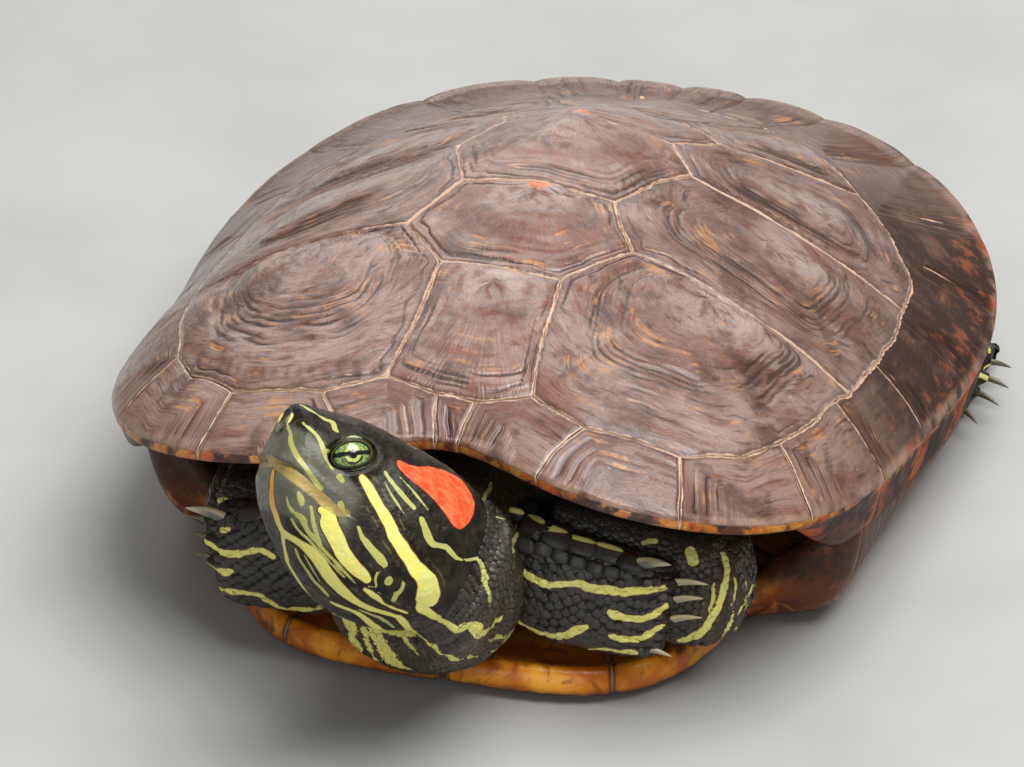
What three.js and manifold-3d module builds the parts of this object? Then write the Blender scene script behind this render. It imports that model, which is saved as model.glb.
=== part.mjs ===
// Red-eared slider, adult female, life size, lying on its plastron with its head turned to its right.
// Millimetres. +Z is up, the tail points along +Y, the head end along -Y and the turtle's left along +X.
import * as THREE from "three";
import Module from "manifold-3d";
import { mergeVertices } from "three/addons/utils/BufferGeometryUtils.js";

const wasm = await Module();
wasm.setup();

// Carapace
const CENTRE_Y = -1.9;
const HALF_LENGTH = 115;
const HALF_WIDTH = 90.5;
const APEX_HEIGHT = 84;
const FRONT_SQUARENESS = 3.48;
const REAR_SQUARENESS = 2.67;
const NUCHAL_BAY = 0.111;
const SHELL_THICK = 4.5;
const RIM_LIP = 2.6;
const UNDER_RIM_DROP = 12.5;
const UNDER_RIM_IN = 0.96;
const BRIDGE_WALL = 0.07;
const AROUND = 36;
const TRUNK_AROUND = 20;

// Plastron
const FRONT_LOBE_WIDE = 59;
const FRONT_LOBE_LONG = 103;
const REAR_LOBE_WIDE = 51;
const REAR_LOBE_LONG = 101;
const PLASTRON_THICK = 6.5;
const LIP_HEIGHT = 8.6;

// Fits
const GAP = 0.3;
const HALF_GAP = GAP / 2;

// Head, measured from the tip of the snout: b back, l left, u up
const SNOUT = new THREE.Vector3(-28.8, -136.8, 74.3);
const FACING = new THREE.Vector3(-0.75, -0.308, 0.586).normalize();
const HEAD_LEFT = new THREE.Vector3(0.604, -0.679, 0.417);
const HEAD_UP = new THREE.Vector3();
HEAD_LEFT.addScaledVector(FACING, -HEAD_LEFT.dot(FACING)).normalize();
HEAD_UP.crossVectors(FACING, HEAD_LEFT);
const EYE_RADIUS = 4.7;
const EYE_AT = [14, 7.6, 5.9];

const COLOURS = {
  scute: { color: 0x6a4840, roughness: 0.42 },
  rim: { color: 0x5d4037, roughness: 0.42 },
  plastron: { color: 0xb5681f, roughness: 0.4 },
  skin: { color: 0x2f322a, roughness: 0.62 },
  eye: { color: 0x6f9a3f, roughness: 0.15 },
};

const scene = new THREE.Group();

const degrees = (a) => (a * Math.PI) / 180;
const mix = (a, b, t) => a + (b - a) * t;
const smooth = (lo, hi, v) => THREE.MathUtils.smoothstep(v, lo, hi);

// A closed body from a stack of closed rings, each end drawn in to a point.
function loft(rings, first, last) {
  const n = rings[0].length;
  const points = rings.flat().concat([first, last]);
  const faces = [];
  const a = rings.length * n;
  for (let i = 0; i < n; i += 1) {
    const j = (i + 1) % n;
    faces.push(a, j, i);
    for (let r = 0; r + 1 < rings.length; r += 1) {
      const p = r * n;
      faces.push(p + i, p + j, p + n + j);
      faces.push(p + i, p + n + j, p + n + i);
    }
    const e = (rings.length - 1) * n;
    faces.push(e + i, e + j, a + 1);
  }
  let volume = 0;
  for (let k = 0; k < faces.length; k += 3) {
    const [p, q, s] = [points[faces[k]], points[faces[k + 1]], points[faces[k + 2]]];
    volume += p.dot(q.clone().cross(s));
  }
  if (volume < 0) {
    faces.reverse();
  }
  const geometry = new THREE.BufferGeometry();
  geometry.setAttribute("position", new THREE.Float32BufferAttribute(points.flatMap((p) => p.toArray()), 3));
  geometry.setIndex(faces);
  return geometry;
}

function solid(source) {
  const geometry = source.clone();
  geometry.deleteAttribute("normal");
  geometry.deleteAttribute("uv");
  const merged = mergeVertices(geometry, 1e-4);
  const vertProperties = new Float32Array(merged.attributes.position.array);
  const triVerts = new Uint32Array(merged.index.array);
  return new wasm.Manifold(new wasm.Mesh({ numProp: 3, vertProperties, triVerts }));
}

function place(name, body, colour) {
  const { vertProperties, triVerts, numProp } = body.getMesh();
  const positions = new Float32Array((vertProperties.length / numProp) * 3);
  for (let i = 0; i < positions.length / 3; i += 1) {
    positions.set(vertProperties.subarray(i * numProp, i * numProp + 3), i * 3);
  }
  const geometry = new THREE.BufferGeometry();
  geometry.setAttribute("position", new THREE.BufferAttribute(positions, 3));
  geometry.setIndex(new THREE.BufferAttribute(new Uint32Array(triVerts), 1));
  geometry.computeVertexNormals();
  const mesh = new THREE.Mesh(geometry, new THREE.MeshStandardMaterial({ metalness: 0, ...COLOURS[colour] }));
  mesh.name = name;
  scene.add(mesh);
}

const bump = (a, centre, width) => Math.exp(-(((a - degrees(centre)) / degrees(width)) ** 2));

// Outline of the rim in plan, as a distance from the centre.
// The angle a is 0 at the head end and 90 degrees at the left.
function rimRadius(a, bay) {
  const c = Math.cos(a);
  const s = Math.sin(a);
  const long = c > 0 ? HALF_LENGTH + CENTRE_Y : HALF_LENGTH - CENTRE_Y;
  const n = c > 0 ? FRONT_SQUARENESS : REAR_SQUARENESS;
  const oval = (Math.abs(s / HALF_WIDTH) ** n + Math.abs(c / long) ** n) ** (-1 / n);
  const off = Math.atan2(s, c);
  const notch = 1 - bay * Math.exp(-((off / 0.22) ** 2));
  const waist = 0.034 * Math.cos(3 * a) * s * s - 0.011 * Math.sin(2 * Math.abs(off)) * Math.abs(s);
  const uneven = 0.02 * bump(off, -60, 17) - 0.014 * bump(off, -112, 22);
  return oval * (notch + waist + uneven);
}

const rimHeight = (a) =>
  38.4 + 10.92 * Math.cos(a) + 10.31 * Math.cos(2 * a) + 0.98 * Math.cos(3 * a) + 0.56 * Math.cos(4 * a);

function carapaceRadius(a, r) {
  const w = THREE.MathUtils.clamp((r - 0.55) / 0.45, 0, 1) ** 2;
  return r * mix(rimRadius(a, 0.03), rimRadius(a, NUCHAL_BAY), w);
}

function carapaceHeight(a, r) {
  const roundness = 1.3 + 0.264 * Math.cos(a) + 0.172 * Math.cos(2 * a);
  const fall = 0.9 - 0.293 * Math.cos(a) + 0.2 * Math.cos(2 * a);
  const soft = 0.06;
  const top = (r * r + soft * soft) ** (roundness / 2) - soft ** roundness;
  const out = Math.min(1, top / ((1 + soft * soft) ** (roundness / 2) - soft ** roundness));
  return mix(rimHeight(a), APEX_HEIGHT, (1 - out) ** fall);
}

const at = (a, rho, z) => new THREE.Vector3(rho * Math.sin(a), CENTRE_Y - rho * Math.cos(a), z);

// How far the shell is closed below the rim: 1 along the bridge, 0 at the openings for the limbs.
function bridged(a) {
  const off = Math.abs(THREE.MathUtils.radToDeg(Math.atan2(Math.sin(a), Math.cos(a))));
  return smooth(30, 50, off) * (1 - smooth(110, 128, off));
}

// How far the plastron reaches out and up to the rim: only between the fore and hind limbs.
function buttressed(a) {
  const off = Math.abs(THREE.MathUtils.radToDeg(Math.atan2(Math.sin(a), Math.cos(a))));
  return smooth(41, 56, off) * (1 - smooth(104, 119, off));
}

function ring(point, around = AROUND) {
  return Array.from({ length: around }, (_, i) => point((2 * Math.PI * i) / around));
}

const BANDS = [0.17, 0.36, 0.54, 0.7, 0.84];
const INNER_BANDS = [0.4, 0.75];

// The carapace as one bowl; grow swells it all round.
function carapace(grow) {
  const rings = BANDS.concat([0.94]).map((r) =>
    ring((a) => at(a, carapaceRadius(a, r) + grow, carapaceHeight(a, r) + grow)));
  rings.push(ring((a) => at(a, rimRadius(a, NUCHAL_BAY) + grow, rimHeight(a))));
  rings.push(ring((a) => at(a, rimRadius(a, NUCHAL_BAY) * 0.992 + grow, rimHeight(a) - RIM_LIP - grow)));
  rings.push(ring((a) => {
    const w = bridged(a);
    const r = mix(0.88, UNDER_RIM_IN, w);
    const free = carapaceHeight(a, r) - SHELL_THICK - 1;
    return at(a, carapaceRadius(a, r), mix(free, rimHeight(a) - UNDER_RIM_DROP, w) - grow);
  }));
  rings.push(ring((a) => {
    const w = bridged(a);
    const r = mix(0.84, UNDER_RIM_IN - BRIDGE_WALL, w);
    const free = carapaceHeight(a, r) - SHELL_THICK;
    return at(a, carapaceRadius(a, r) - grow, mix(free, rimHeight(a) - UNDER_RIM_DROP, w) - grow);
  }));
  for (const r of INNER_BANDS.toReversed()) {
    rings.push(ring((a) => at(a, carapaceRadius(a, r), carapaceHeight(a, r) - SHELL_THICK - grow)));
  }
  return solid(loft(rings, at(0, 0, APEX_HEIGHT + grow), at(0, 0, APEX_HEIGHT - SHELL_THICK - grow)));
}

function lobeRadius(a) {
  const c = Math.cos(a);
  const s = Math.sin(a);
  const wide = c > 0 ? FRONT_LOBE_WIDE : REAR_LOBE_WIDE;
  const long = c > 0 ? FRONT_LOBE_LONG : REAR_LOBE_LONG;
  const n = c > 0 ? 3.8 : 2.6;
  return (Math.abs(s / wide) ** n + Math.abs(c / long) ** n) ** (-1 / n);
}

// The plastron and its bridges as one dish; grow swells it all round.
function plastron(grow) {
  const foot = (a) => mix(lobeRadius(a) - 9, rimRadius(a, 0) * 0.75, buttressed(a));
  const up = PLASTRON_THICK + grow;
  const rings = [
    ring((a) => at(a, foot(a), -grow)),
    ring((a) => {
      const w = buttressed(a);
      return at(a, mix(lobeRadius(a) - 2.4, rimRadius(a, 0) * 0.9, w) + grow, mix(1.6, 6.5, w) - grow);
    }),
    ring((a) => {
      const w = buttressed(a);
      const top = rimHeight(a) - UNDER_RIM_DROP - GAP;
      const out = mix(lobeRadius(a), carapaceRadius(a, UNDER_RIM_IN), w);
      return at(a, out + grow, mix(4.6, top, w) + grow * w);
    }),
    ring((a) => {
      const w = buttressed(a);
      const top = rimHeight(a) - UNDER_RIM_DROP - GAP;
      const inner = carapaceRadius(a, UNDER_RIM_IN - BRIDGE_WALL);
      return at(a, mix(lobeRadius(a) - 2.2, inner, w) - grow * w, mix(LIP_HEIGHT, top, w) + grow);
    }),
    ring((a) => at(a, foot(a) + 1, mix(LIP_HEIGHT - 0.8, up + 1.5, buttressed(a)) + grow)),
    ring((a) => at(a, foot(a) * 0.8, up)),
  ];
  return solid(loft(rings, at(0, 0, -grow), at(0, 0, up)));
}

// The body inside the shell, showing as skin in the openings.
function trunkBody() {
  const inside = SHELL_THICK + GAP + 0.3;
  const rings = INNER_BANDS.map((r) =>
    ring((a) => at(a, carapaceRadius(a, r) - 0.2, carapaceHeight(a, r) - inside), TRUNK_AROUND));
  rings.push(ring((a) => {
    const w = bridged(a);
    const free = carapaceHeight(a, 0.8) - inside - 3;
    return at(a, carapaceRadius(a, mix(0.78, 0.85, w)) - 1.5, mix(free, rimHeight(a) - 4, w));
  }, TRUNK_AROUND));
  rings.push(ring((a) => {
    const w = buttressed(a);
    const out = mix(lobeRadius(a) - 13, carapaceRadius(a, 0.85) - 1.5, w);
    return at(a, out, mix(24, rimHeight(a) - 13, w));
  }, TRUNK_AROUND));
  rings.push(ring((a) =>
    at(a, lobeRadius(a) - 15, mix(LIP_HEIGHT + 1, PLASTRON_THICK + 4.5, buttressed(a))), TRUNK_AROUND));
  return solid(loft(rings, at(0, 0, APEX_HEIGHT - inside), at(0, 0, PLASTRON_THICK + GAP + 0.4)));
}

// A prism over a plan outline, drawn in by half the gap so that neighbours stay apart.
function prism(outline, inset) {
  const points = outline.map(([x, y]) => new THREE.Vector2(x, y));
  if (THREE.ShapeUtils.area(points) < 0) {
    points.reverse();
  }
  const n = points.length;
  const drawn = points.map((p, i) => {
    const before = p.clone().sub(points[(i + n - 1) % n]).normalize();
    const after = points[(i + 1) % n].clone().sub(p).normalize();
    const normal = new THREE.Vector2(-before.y - after.y, before.x + after.x).normalize();
    const spread = Math.max(0.4, normal.x * -before.y + normal.y * before.x);
    return p.clone().addScaledVector(normal, inset / spread);
  });
  const shape = new THREE.ExtrudeGeometry(new THREE.Shape(drawn), { depth: 160, bevelEnabled: false });
  return solid(shape.translate(0, 0, -30));
}

const mirrored = (outline) => outline.map(([x, y]) => [-x, y]).reverse();
const bothSides = (half) => half.concat(mirrored(half).filter(([x]) => x !== 0));

// Seams between the scutes, on the left half, in plan
const NUCHAL_BACK = [4.1, -94];
const SEAM_V1_C1 = [16.1, -91.2];
const SEAM_V1_WAIST = [14, -74];
const SEAM_V1_V2 = [13.5, -56];
const SEAM_C1_C2 = [25.4, -42];
const SEAM_V2_V3 = [17.6, -24.5];
const SEAM_C2_C3 = [27.2, 6.5];
const SEAM_V3_V4 = [19.4, 21];
const SEAM_C3_C4 = [25, 42];
const SEAM_V4_V5 = [12.5, 60];
const SEAM_V5_BACK = [27, 87.5];
const KNOB_2 = [0, -24];
const KNOB_3 = [0, 16];
const RIM_C1 = [[28.6, -96.6], [49.1, -95.7], [61, -88], [66.8, -78], [71.5, -62]];
const RIM_C1_C2 = [74, -44];
const RIM_C2 = [[76.4, -20]];
const RIM_C2_C3 = [76.2, 10];
const RIM_C3 = [[74.5, 26.5], [68.6, 38], [62.5, 47]];
const RIM_C3_C4 = [55, 57];
const RIM_C4 = [[47, 68], [37, 79.5]];
const RIM_BACK = [0, 97.5];

const CENTRAL_SCUTES = {
  vertebral_1: [NUCHAL_BACK, SEAM_V1_C1, SEAM_V1_WAIST, SEAM_V1_V2],
  vertebral_2: [SEAM_V1_V2, SEAM_C1_C2, SEAM_V2_V3, KNOB_2],
  vertebral_3: [KNOB_2, SEAM_V2_V3, SEAM_C2_C3, SEAM_V3_V4, KNOB_3],
  vertebral_4: [KNOB_3, SEAM_V3_V4, SEAM_C3_C4, SEAM_V4_V5],
  vertebral_5: [SEAM_V4_V5, SEAM_V5_BACK, RIM_BACK],
};
const COSTALS = {
  costal_1: [SEAM_V1_C1, ...RIM_C1, RIM_C1_C2, SEAM_C1_C2, SEAM_V1_V2, SEAM_V1_WAIST],
  costal_2: [SEAM_C1_C2, RIM_C1_C2, ...RIM_C2, RIM_C2_C3, SEAM_C2_C3, SEAM_V2_V3],
  costal_3: [SEAM_C2_C3, RIM_C2_C3, ...RIM_C3, RIM_C3_C4, SEAM_C3_C4, SEAM_V3_V4],
  costal_4: [SEAM_C3_C4, RIM_C3_C4, ...RIM_C4, SEAM_V5_BACK, SEAM_V4_V5],
};
const INNER_RIM = [
  NUCHAL_BACK, SEAM_V1_C1, ...RIM_C1, RIM_C1_C2, ...RIM_C2, RIM_C2_C3, ...RIM_C3, RIM_C3_C4, ...RIM_C4,
  SEAM_V5_BACK, RIM_BACK,
];

const shell = carapace(0);
for (const [name, half] of Object.entries(CENTRAL_SCUTES)) {
  place(name, shell.intersect(prism(bothSides(half), HALF_GAP)), "scute");
}
for (const [name, outline] of Object.entries(COSTALS)) {
  place(`${name}_left`, shell.intersect(prism(outline, HALF_GAP)), "scute");
  place(`${name}_right`, shell.intersect(prism(mirrored(outline), HALF_GAP)), "scute");
}
const nuchal = [[2.4, -130], NUCHAL_BACK, [-NUCHAL_BACK[0], NUCHAL_BACK[1]], [-2.4, -130]];
place("nuchal", shell.intersect(prism(nuchal, HALF_GAP)), "scute");
const marginals = INNER_RIM.concat([[0, 140], [140, 140], [140, -130], [2.4, -130]]);
place("marginals_left", shell.intersect(prism(marginals, HALF_GAP)), "rim");
place("marginals_right", shell.intersect(prism(mirrored(marginals), HALF_GAP)), "rim");

// The plastron's six pairs of scutes, each pair in one piece, from the front to the back
const GULAR_SEAM = [[0, -82], [34, -97], [40, -130]];
const PLASTRON_SEAMS = [
  [[0, -60], [100, -54]],
  [[0, -36], [100, -30]],
  [[0, 14], [100, 26]],
  [[0, 54], [100, 70]],
  [[0, 140], [100, 140]],
];
const PLASTRON_NAMES = ["humerals", "pectorals", "abdominals", "femorals", "anals"];
const under = plastron(0);
const gulars = bothSides([[0, -140], ...GULAR_SEAM.toReversed()]);
place("gulars", under.intersect(prism(gulars, HALF_GAP)), "plastron");
let front = GULAR_SEAM.concat([[100, -130]]);
PLASTRON_NAMES.forEach((name, i) => {
  const half = front.concat(PLASTRON_SEAMS[i].toReversed());
  place(name, under.intersect(prism(bothSides(half), HALF_GAP)), "plastron");
  front = PLASTRON_SEAMS[i];
});

// A tube through stations [x, y, z, half width, half height]; the height lies nearest to upward.
// Swell makes it larger all round, ends included.
function tube(stations, upward, sides, swell) {
  const centres = stations.map(([x, y, z]) => new THREE.Vector3(x, y, z));
  const up = new THREE.Vector3(...upward);
  const end = centres.length - 1;
  centres[0].addScaledVector(centres[0].clone().sub(centres[1]).normalize(), swell);
  centres[end].addScaledVector(centres[end].clone().sub(centres[end - 1]).normalize(), swell);
  const rings = stations.map(([, , , wide, tall], i) => {
    const along = centres[Math.min(i + 1, end)].clone().sub(centres[Math.max(i - 1, 0)]).normalize();
    const side = new THREE.Vector3().crossVectors(up, along).normalize();
    const top = new THREE.Vector3().crossVectors(along, side);
    return Array.from({ length: sides }, (_, k) => {
      const t = (2 * Math.PI * (k + 0.5)) / sides;
      const out = (wide + swell) * Math.cos(t);
      return centres[i].clone().addScaledVector(side, out).addScaledVector(top, (tall + swell) * Math.sin(t));
    });
  });
  return solid(loft(rings, centres[0], centres[end]));
}

const join = (parts) => parts.reduce((whole, part) => whole.add(part));
const largest = (body) => body.decompose().reduce((a, b) => (a.volume() > b.volume() ? a : b));

// A toe from its root to the base of the claw, and the claw to its tip.
function toe([root, knuckle, tip], r, swell) {
  const [a, b, c] = [root, knuckle, tip].map((p) => new THREE.Vector3(...p));
  const arch = b.clone().lerp(c, 0.5).add(new THREE.Vector3(0, 0, r * 0.35));
  const stations = [
    [...a.toArray(), r * 1.2, r * 1.1],
    [...b.toArray(), r * 0.85, r * 0.75],
    [...arch.toArray(), r * 0.55, r * 0.5],
    [...c.toArray(), 0.3, 0.3],
  ];
  return tube(stations, [0, 0.1, 1], 5, swell);
}

// Flesh is placed in order, each piece cut back by the gap from whatever is there already.
const taken = [carapace(GAP), plastron(GAP)];

function flesh(name, build) {
  const body = taken.reduce((rest, other) => rest.subtract(other), build(0));
  place(name, largest(body), "skin");
  taken.push(build(GAP));
}

// Head. Each station: distance back from the snout, half width, top, bottom, height of the widest line.
const HEAD_STATIONS = [
  [0.3, 2.6, 9.6, 4.2, 7],
  [0.9, 4.6, 10.8, -0.5, 5],
  [2.4, 8.2, 11.8, -5.4, 1],
  [5, 10.2, 12.4, -9.8, -1.5],
  [9, 11.6, 13.4, -13.8, -3],
  [13.5, 12.6, 14.6, -17.2, -3.5],
  [19, 13.8, 15.2, -20.2, -4],
  [25, 15.6, 15.4, -22.2, -4],
  [32, 17, 15.4, -22.8, -4],
  [39, 17.2, 14.8, -21.8, -4],
  [44, 16.6, 13.6, -19.6, -4],
  [48, 15.6, 12, -18, -4],
];
const HEAD_SIDES = 18;
const HEAD_LENGTH = HEAD_STATIONS[HEAD_STATIONS.length - 1][0];

const onHead = (b, l, u) =>
  SNOUT.clone().addScaledVector(FACING, -b).addScaledVector(HEAD_LEFT, l).addScaledVector(HEAD_UP, u);

function headRing([b, wide, top, bottom, middle], swell) {
  return Array.from({ length: HEAD_SIDES }, (_, k) => {
    const t = (2 * Math.PI * (k + 0.5)) / HEAD_SIDES;
    const c = Math.cos(t);
    const s = Math.sin(t);
    const high = s > 0 ? top - middle : middle - bottom;
    const boxy = s > 0 ? 0.9 : 0.8;
    const l = (wide + swell) * Math.sign(c) * Math.abs(c) ** boxy;
    return onHead(b, l, middle + (high + swell) * Math.sign(s) * Math.abs(s) ** boxy);
  });
}

function skull(swell) {
  const rings = HEAD_STATIONS.map((station) => headRing(station, swell));
  rings.push(headRing([HEAD_LENGTH + swell, ...HEAD_STATIONS[HEAD_STATIONS.length - 1].slice(1)], swell));
  const used = swell > 0 ? rings : rings.slice(0, -1);
  return solid(loft(used, onHead(-swell, 0, 7), onHead(HEAD_LENGTH + swell, 0, -3)));
}

function ball(radius, centre) {
  const sphere = new THREE.SphereGeometry(radius, 12, 6).rotateX(Math.PI / 2).rotateY(Math.PI / 2);
  const turn = new THREE.Matrix4().makeBasis(HEAD_LEFT, HEAD_UP, FACING);
  return solid(sphere.applyMatrix4(turn).translate(...centre.toArray()));
}

// The mouth runs from the beak's notch back to below the eye, then the jaw's back edge drops to the throat.
function jawPrism(gap) {
  const line = [[-6, -1.9], [2.5, -1.9], [8, -2.6], [13, -4], [18.8, -5.2], [24, -30], [-6, -30]];
  const outline = line.map(([b, u]) => new THREE.Vector2(b + (u < -20 || b < 0 ? 0 : gap), u + gap));
  const shape = new THREE.Shape(outline);
  const slab = new THREE.ExtrudeGeometry(shape, { depth: 60, bevelEnabled: false }).translate(0, 0, -30);
  const turn = new THREE.Matrix4().makeBasis(FACING.clone().negate(), HEAD_UP, HEAD_LEFT);
  return solid(slab.applyMatrix4(turn).translate(...SNOUT.toArray()));
}

const [EYE_BACK, EYE_OUT, EYE_UP] = EYE_AT;
const whole = taken.reduce((rest, other) => rest.subtract(other), skull(0));
let upperHead = whole.subtract(jawPrism(GAP));
for (const [side, sign] of [["left", 1], ["right", -1]]) {
  const centre = onHead(EYE_BACK, sign * EYE_OUT, EYE_UP);
  upperHead = upperHead.subtract(ball(EYE_RADIUS + GAP, centre));
  place(`eye_${side}`, ball(EYE_RADIUS, centre), "eye");
}
place("head", largest(upperHead), "skin");
place("lower_jaw", largest(whole.intersect(jawPrism(0))), "skin");
taken.push(skull(GAP));

// Neck, from behind the head down into the shell, with loose skin folded at its foot.
const NECK = [
  [-3.5, -115, 29.5, 19, 18.5],
  [-3.5, -110, 28.8, 21, 20.6],
  [-1.5, -100, 31, 19.5, 20.4],
  [0, -88, 33, 18, 19],
  [0, -68, 35, 16, 16],
];

flesh("neck", (swell) => {
  const rings = NECK.map(([x, y, z, wide, tall]) =>
    Array.from({ length: HEAD_SIDES }, (_, k) => {
      const t = (2 * Math.PI * (k + 0.5)) / HEAD_SIDES;
      return new THREE.Vector3(x + (wide + swell) * Math.cos(t), y, z + (tall + swell) * Math.sin(t));
    }));
  const [, wide, top, bottom, middle] = HEAD_STATIONS[HEAD_STATIONS.length - 1];
  const nape = [
    headRing([HEAD_LENGTH + GAP, wide, top, bottom, middle], swell),
    headRing([HEAD_LENGTH + 4, wide, top - 1, bottom - 1, middle], 0.6 + swell),
  ];
  return solid(loft([...nape, ...rings], onHead(HEAD_LENGTH + GAP, 0, -3), new THREE.Vector3(0, -68, 35)));
});

// Forelimbs, folded across the front of the shell: elbow by the neck, claws pointing out. Left side.
const UPPER_ARM = [
  [44, -72, 28, 10, 10],
  [53, -80, 26, 10, 12],
  [54, -87, 24.5, 8, 13],
  [40, -90, 27, 6.5, 13],
  [24, -91, 31, 6, 12],
  [17, -92.5, 34, 5.2, 10.5],
];
const FOREARM = [
  [13.5, -97.5, 34.2, 4.5, 10.4],
  [17, -99, 32.2, 5.6, 12.4],
  [25, -99.5, 28.4, 6.2, 13.2],
  [33, -99.5, 27.2, 6, 13],
  [39.5, -99.3, 26.4, 5.4, 12.6],
];
const HAND = [
  [39.8, -99.3, 26.3, 5.2, 12.4],
  [44.5, -99, 26, 4.4, 11.8],
  [48.5, -98.7, 25.6, 3.2, 10.4],
];
const FINGERS = [
  [[40, -100.5, 36.6], [44, -102, 37], [49.4, -102.6, 39.2]],
  [[44, -100.5, 32.6], [50, -101.4, 34], [57.2, -101, 34.6]],
  [[44, -100.5, 28.4], [50, -101.2, 29.2], [56.2, -101, 31]],
  [[44, -100.5, 23.6], [49.4, -101.2, 24.2], [56, -101, 26.2]],
  [[39, -100.5, 17.2], [44, -102, 16.8], [49.9, -102, 16]],
];

// Hind limbs, out of the rear opening with the foot spread sideways on the ground. Left side.
const THIGH = [
  [36, 58, 27, 12, 12],
  [50, 57, 25.5, 14, 13.5],
  [62, 54, 23.5, 12.6, 12.6],
  [68, 53, 21, 11, 11],
];
const SHANK = [
  [68.2, 53.2, 20.8, 11, 11],
  [71, 54, 15, 10.2, 9.4],
  [74.4, 53, 9.8, 9.6, 7],
];
const FOOT = [
  [74.8, 52.8, 9.4, 10.4, 7],
  [79.4, 50.8, 6.6, 14.2, 5.2],
  [84.5, 49.4, 5.4, 17.4, 3.2],
  [87, 49.2, 5, 16.6, 1.6],
];
const TOES = [
  [[79, 40, 6.8], [85, 34.6, 6.6], [91, 30.4, 4.6]],
  [[81, 44.6, 7.2], [88, 41.4, 7], [94.4, 39.2, 5.2]],
  [[81, 50, 7.2], [88.6, 48.8, 7], [95, 48, 5.2]],
  [[81, 55.4, 7], [87.6, 57, 6.6], [93.6, 58.6, 4.8]],
  [[77, 60, 6.8], [83, 64.4, 6.2], [86.6, 67.6, 5]],
];
const SIDEWAYS = [0, 0.1, 1];
const UPRIGHT = [0, 0, 1];
const LIMB_SIDES = 10;
const PAW_SIDES = 8;
const FINGER_RADIUS = 2.4;
const TOE_RADIUS = 2.5;
// The right arm lies a little lower, with its elbow further in and its hand and first finger further out
const RIGHT_ARM_DROP = 1.5;
const RIGHT_ELBOW_IN = 4;
const RIGHT_HAND_OUT = 3.4;
const RIGHT_FIRST_FINGER = { out: 5, drop: 2 };
const ramp = (from, to, x) => Math.min(Math.max((x - from) / (to - from), 0), 1);

const floor = prism([[-200, -200], [200, -200], [200, 200], [-200, 200]], 0).translate(0, 0, -130);
for (const [side, sign, drop] of [["left", 1, 0], ["right", -1, RIGHT_ARM_DROP]]) {
  const [elbowIn, handOut] = side === "right" ? [RIGHT_ELBOW_IN, RIGHT_HAND_OUT] : [0, 0];
  const upper = ([x, y, z, ...rest]) => [sign * (x - elbowIn * ramp(40, 53, x)), y, z - drop, ...rest];
  const arm = ([x, y, z, ...rest]) => [sign * (x + handOut * ramp(17, 39, x)), y, z - drop, ...rest];
  const leg = ([x, ...rest]) => [sign * x, ...rest];
  flesh(`forearm_${side}`, (swell) => tube(FOREARM.map(arm), SIDEWAYS, LIMB_SIDES, swell));
  flesh(`hand_${side}`, (swell) => {
    const fingers = FINGERS.map((line, number) => {
      const shift = side === "right" && number === 0 ? RIGHT_FIRST_FINGER : { out: 0, drop: 0 };
      const moved = line.map(([x, y, z]) => [x + shift.out, y, z - shift.drop]);
      return toe(moved.map(arm), FINGER_RADIUS, swell);
    });
    return join([tube(HAND.map(arm), SIDEWAYS, PAW_SIDES, swell), ...fingers]);
  });
  flesh(`upper_arm_${side}`, (swell) => tube(UPPER_ARM.map(upper), SIDEWAYS, LIMB_SIDES, swell));
  flesh(`foot_${side}`, (swell) => {
    const toes = TOES.map((line) => toe(line.map(leg), TOE_RADIUS, swell));
    return join([tube(FOOT.map(leg), UPRIGHT, PAW_SIDES, swell), ...toes]).subtract(floor);
  });
  flesh(`shank_${side}`, (swell) => tube(SHANK.map(leg), UPRIGHT, LIMB_SIDES, swell));
  flesh(`thigh_${side}`, (swell) => tube(THIGH.map(leg), UPRIGHT, LIMB_SIDES, swell));
}

// Tail, curled to the left under the rim
const TAIL = [
  [0, 76, 20, 9, 9],
  [0, 90, 18, 8.4, 8.4],
  [3, 101, 15, 6.4, 6],
  [10, 109, 12, 4.4, 4],
  [19, 112.4, 9.4, 2.8, 2.6],
  [27, 112, 7.6, 0.9, 0.9],
];
flesh("tail", (swell) => tube(TAIL, UPRIGHT, PAW_SIDES, swell));
flesh("trunk", trunkBody);

export default scene;
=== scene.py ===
"""Red-eared slider turtle, adult female, life size: shell plates, skin, scales, claws and eyes.

Shapes are worked out in millimetres. +Z is up, the head end points along -Y and the turtle's left along +X.
"""

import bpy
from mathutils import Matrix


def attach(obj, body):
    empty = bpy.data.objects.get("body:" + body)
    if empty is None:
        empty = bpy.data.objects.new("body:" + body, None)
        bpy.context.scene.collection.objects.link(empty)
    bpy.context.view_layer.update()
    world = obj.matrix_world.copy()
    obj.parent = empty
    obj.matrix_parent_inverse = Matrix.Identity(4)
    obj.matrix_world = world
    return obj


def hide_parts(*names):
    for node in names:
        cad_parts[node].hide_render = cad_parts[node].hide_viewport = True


bl_info = {
    "name": "Red-eared slider",
    "version": (1, 0, 0),
    "blender": (4, 5, 0),
    "location": "3D View > Sidebar > Turtle",
    "description": "Builds a life-size red-eared slider turtle on its packed frame",
    "category": "Object",
}

import math

import bpy
import numpy as np
from bpy.props import FloatProperty, FloatVectorProperty, PointerProperty
from bpy.types import Operator, Panel, PropertyGroup
from mathutils import Matrix, Vector
from mathutils.bvhtree import BVHTree

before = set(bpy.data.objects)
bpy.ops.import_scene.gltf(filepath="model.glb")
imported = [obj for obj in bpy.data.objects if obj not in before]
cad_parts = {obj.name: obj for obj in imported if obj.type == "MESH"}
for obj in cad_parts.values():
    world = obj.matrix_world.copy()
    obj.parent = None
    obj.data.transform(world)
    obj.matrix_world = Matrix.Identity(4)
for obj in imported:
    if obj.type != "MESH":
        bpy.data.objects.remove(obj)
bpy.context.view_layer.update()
MM = 0.001
SIDES = (("left", 1), ("right", -1))


# ------------------------------------------------------------------------------------------
# Small maths


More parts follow.
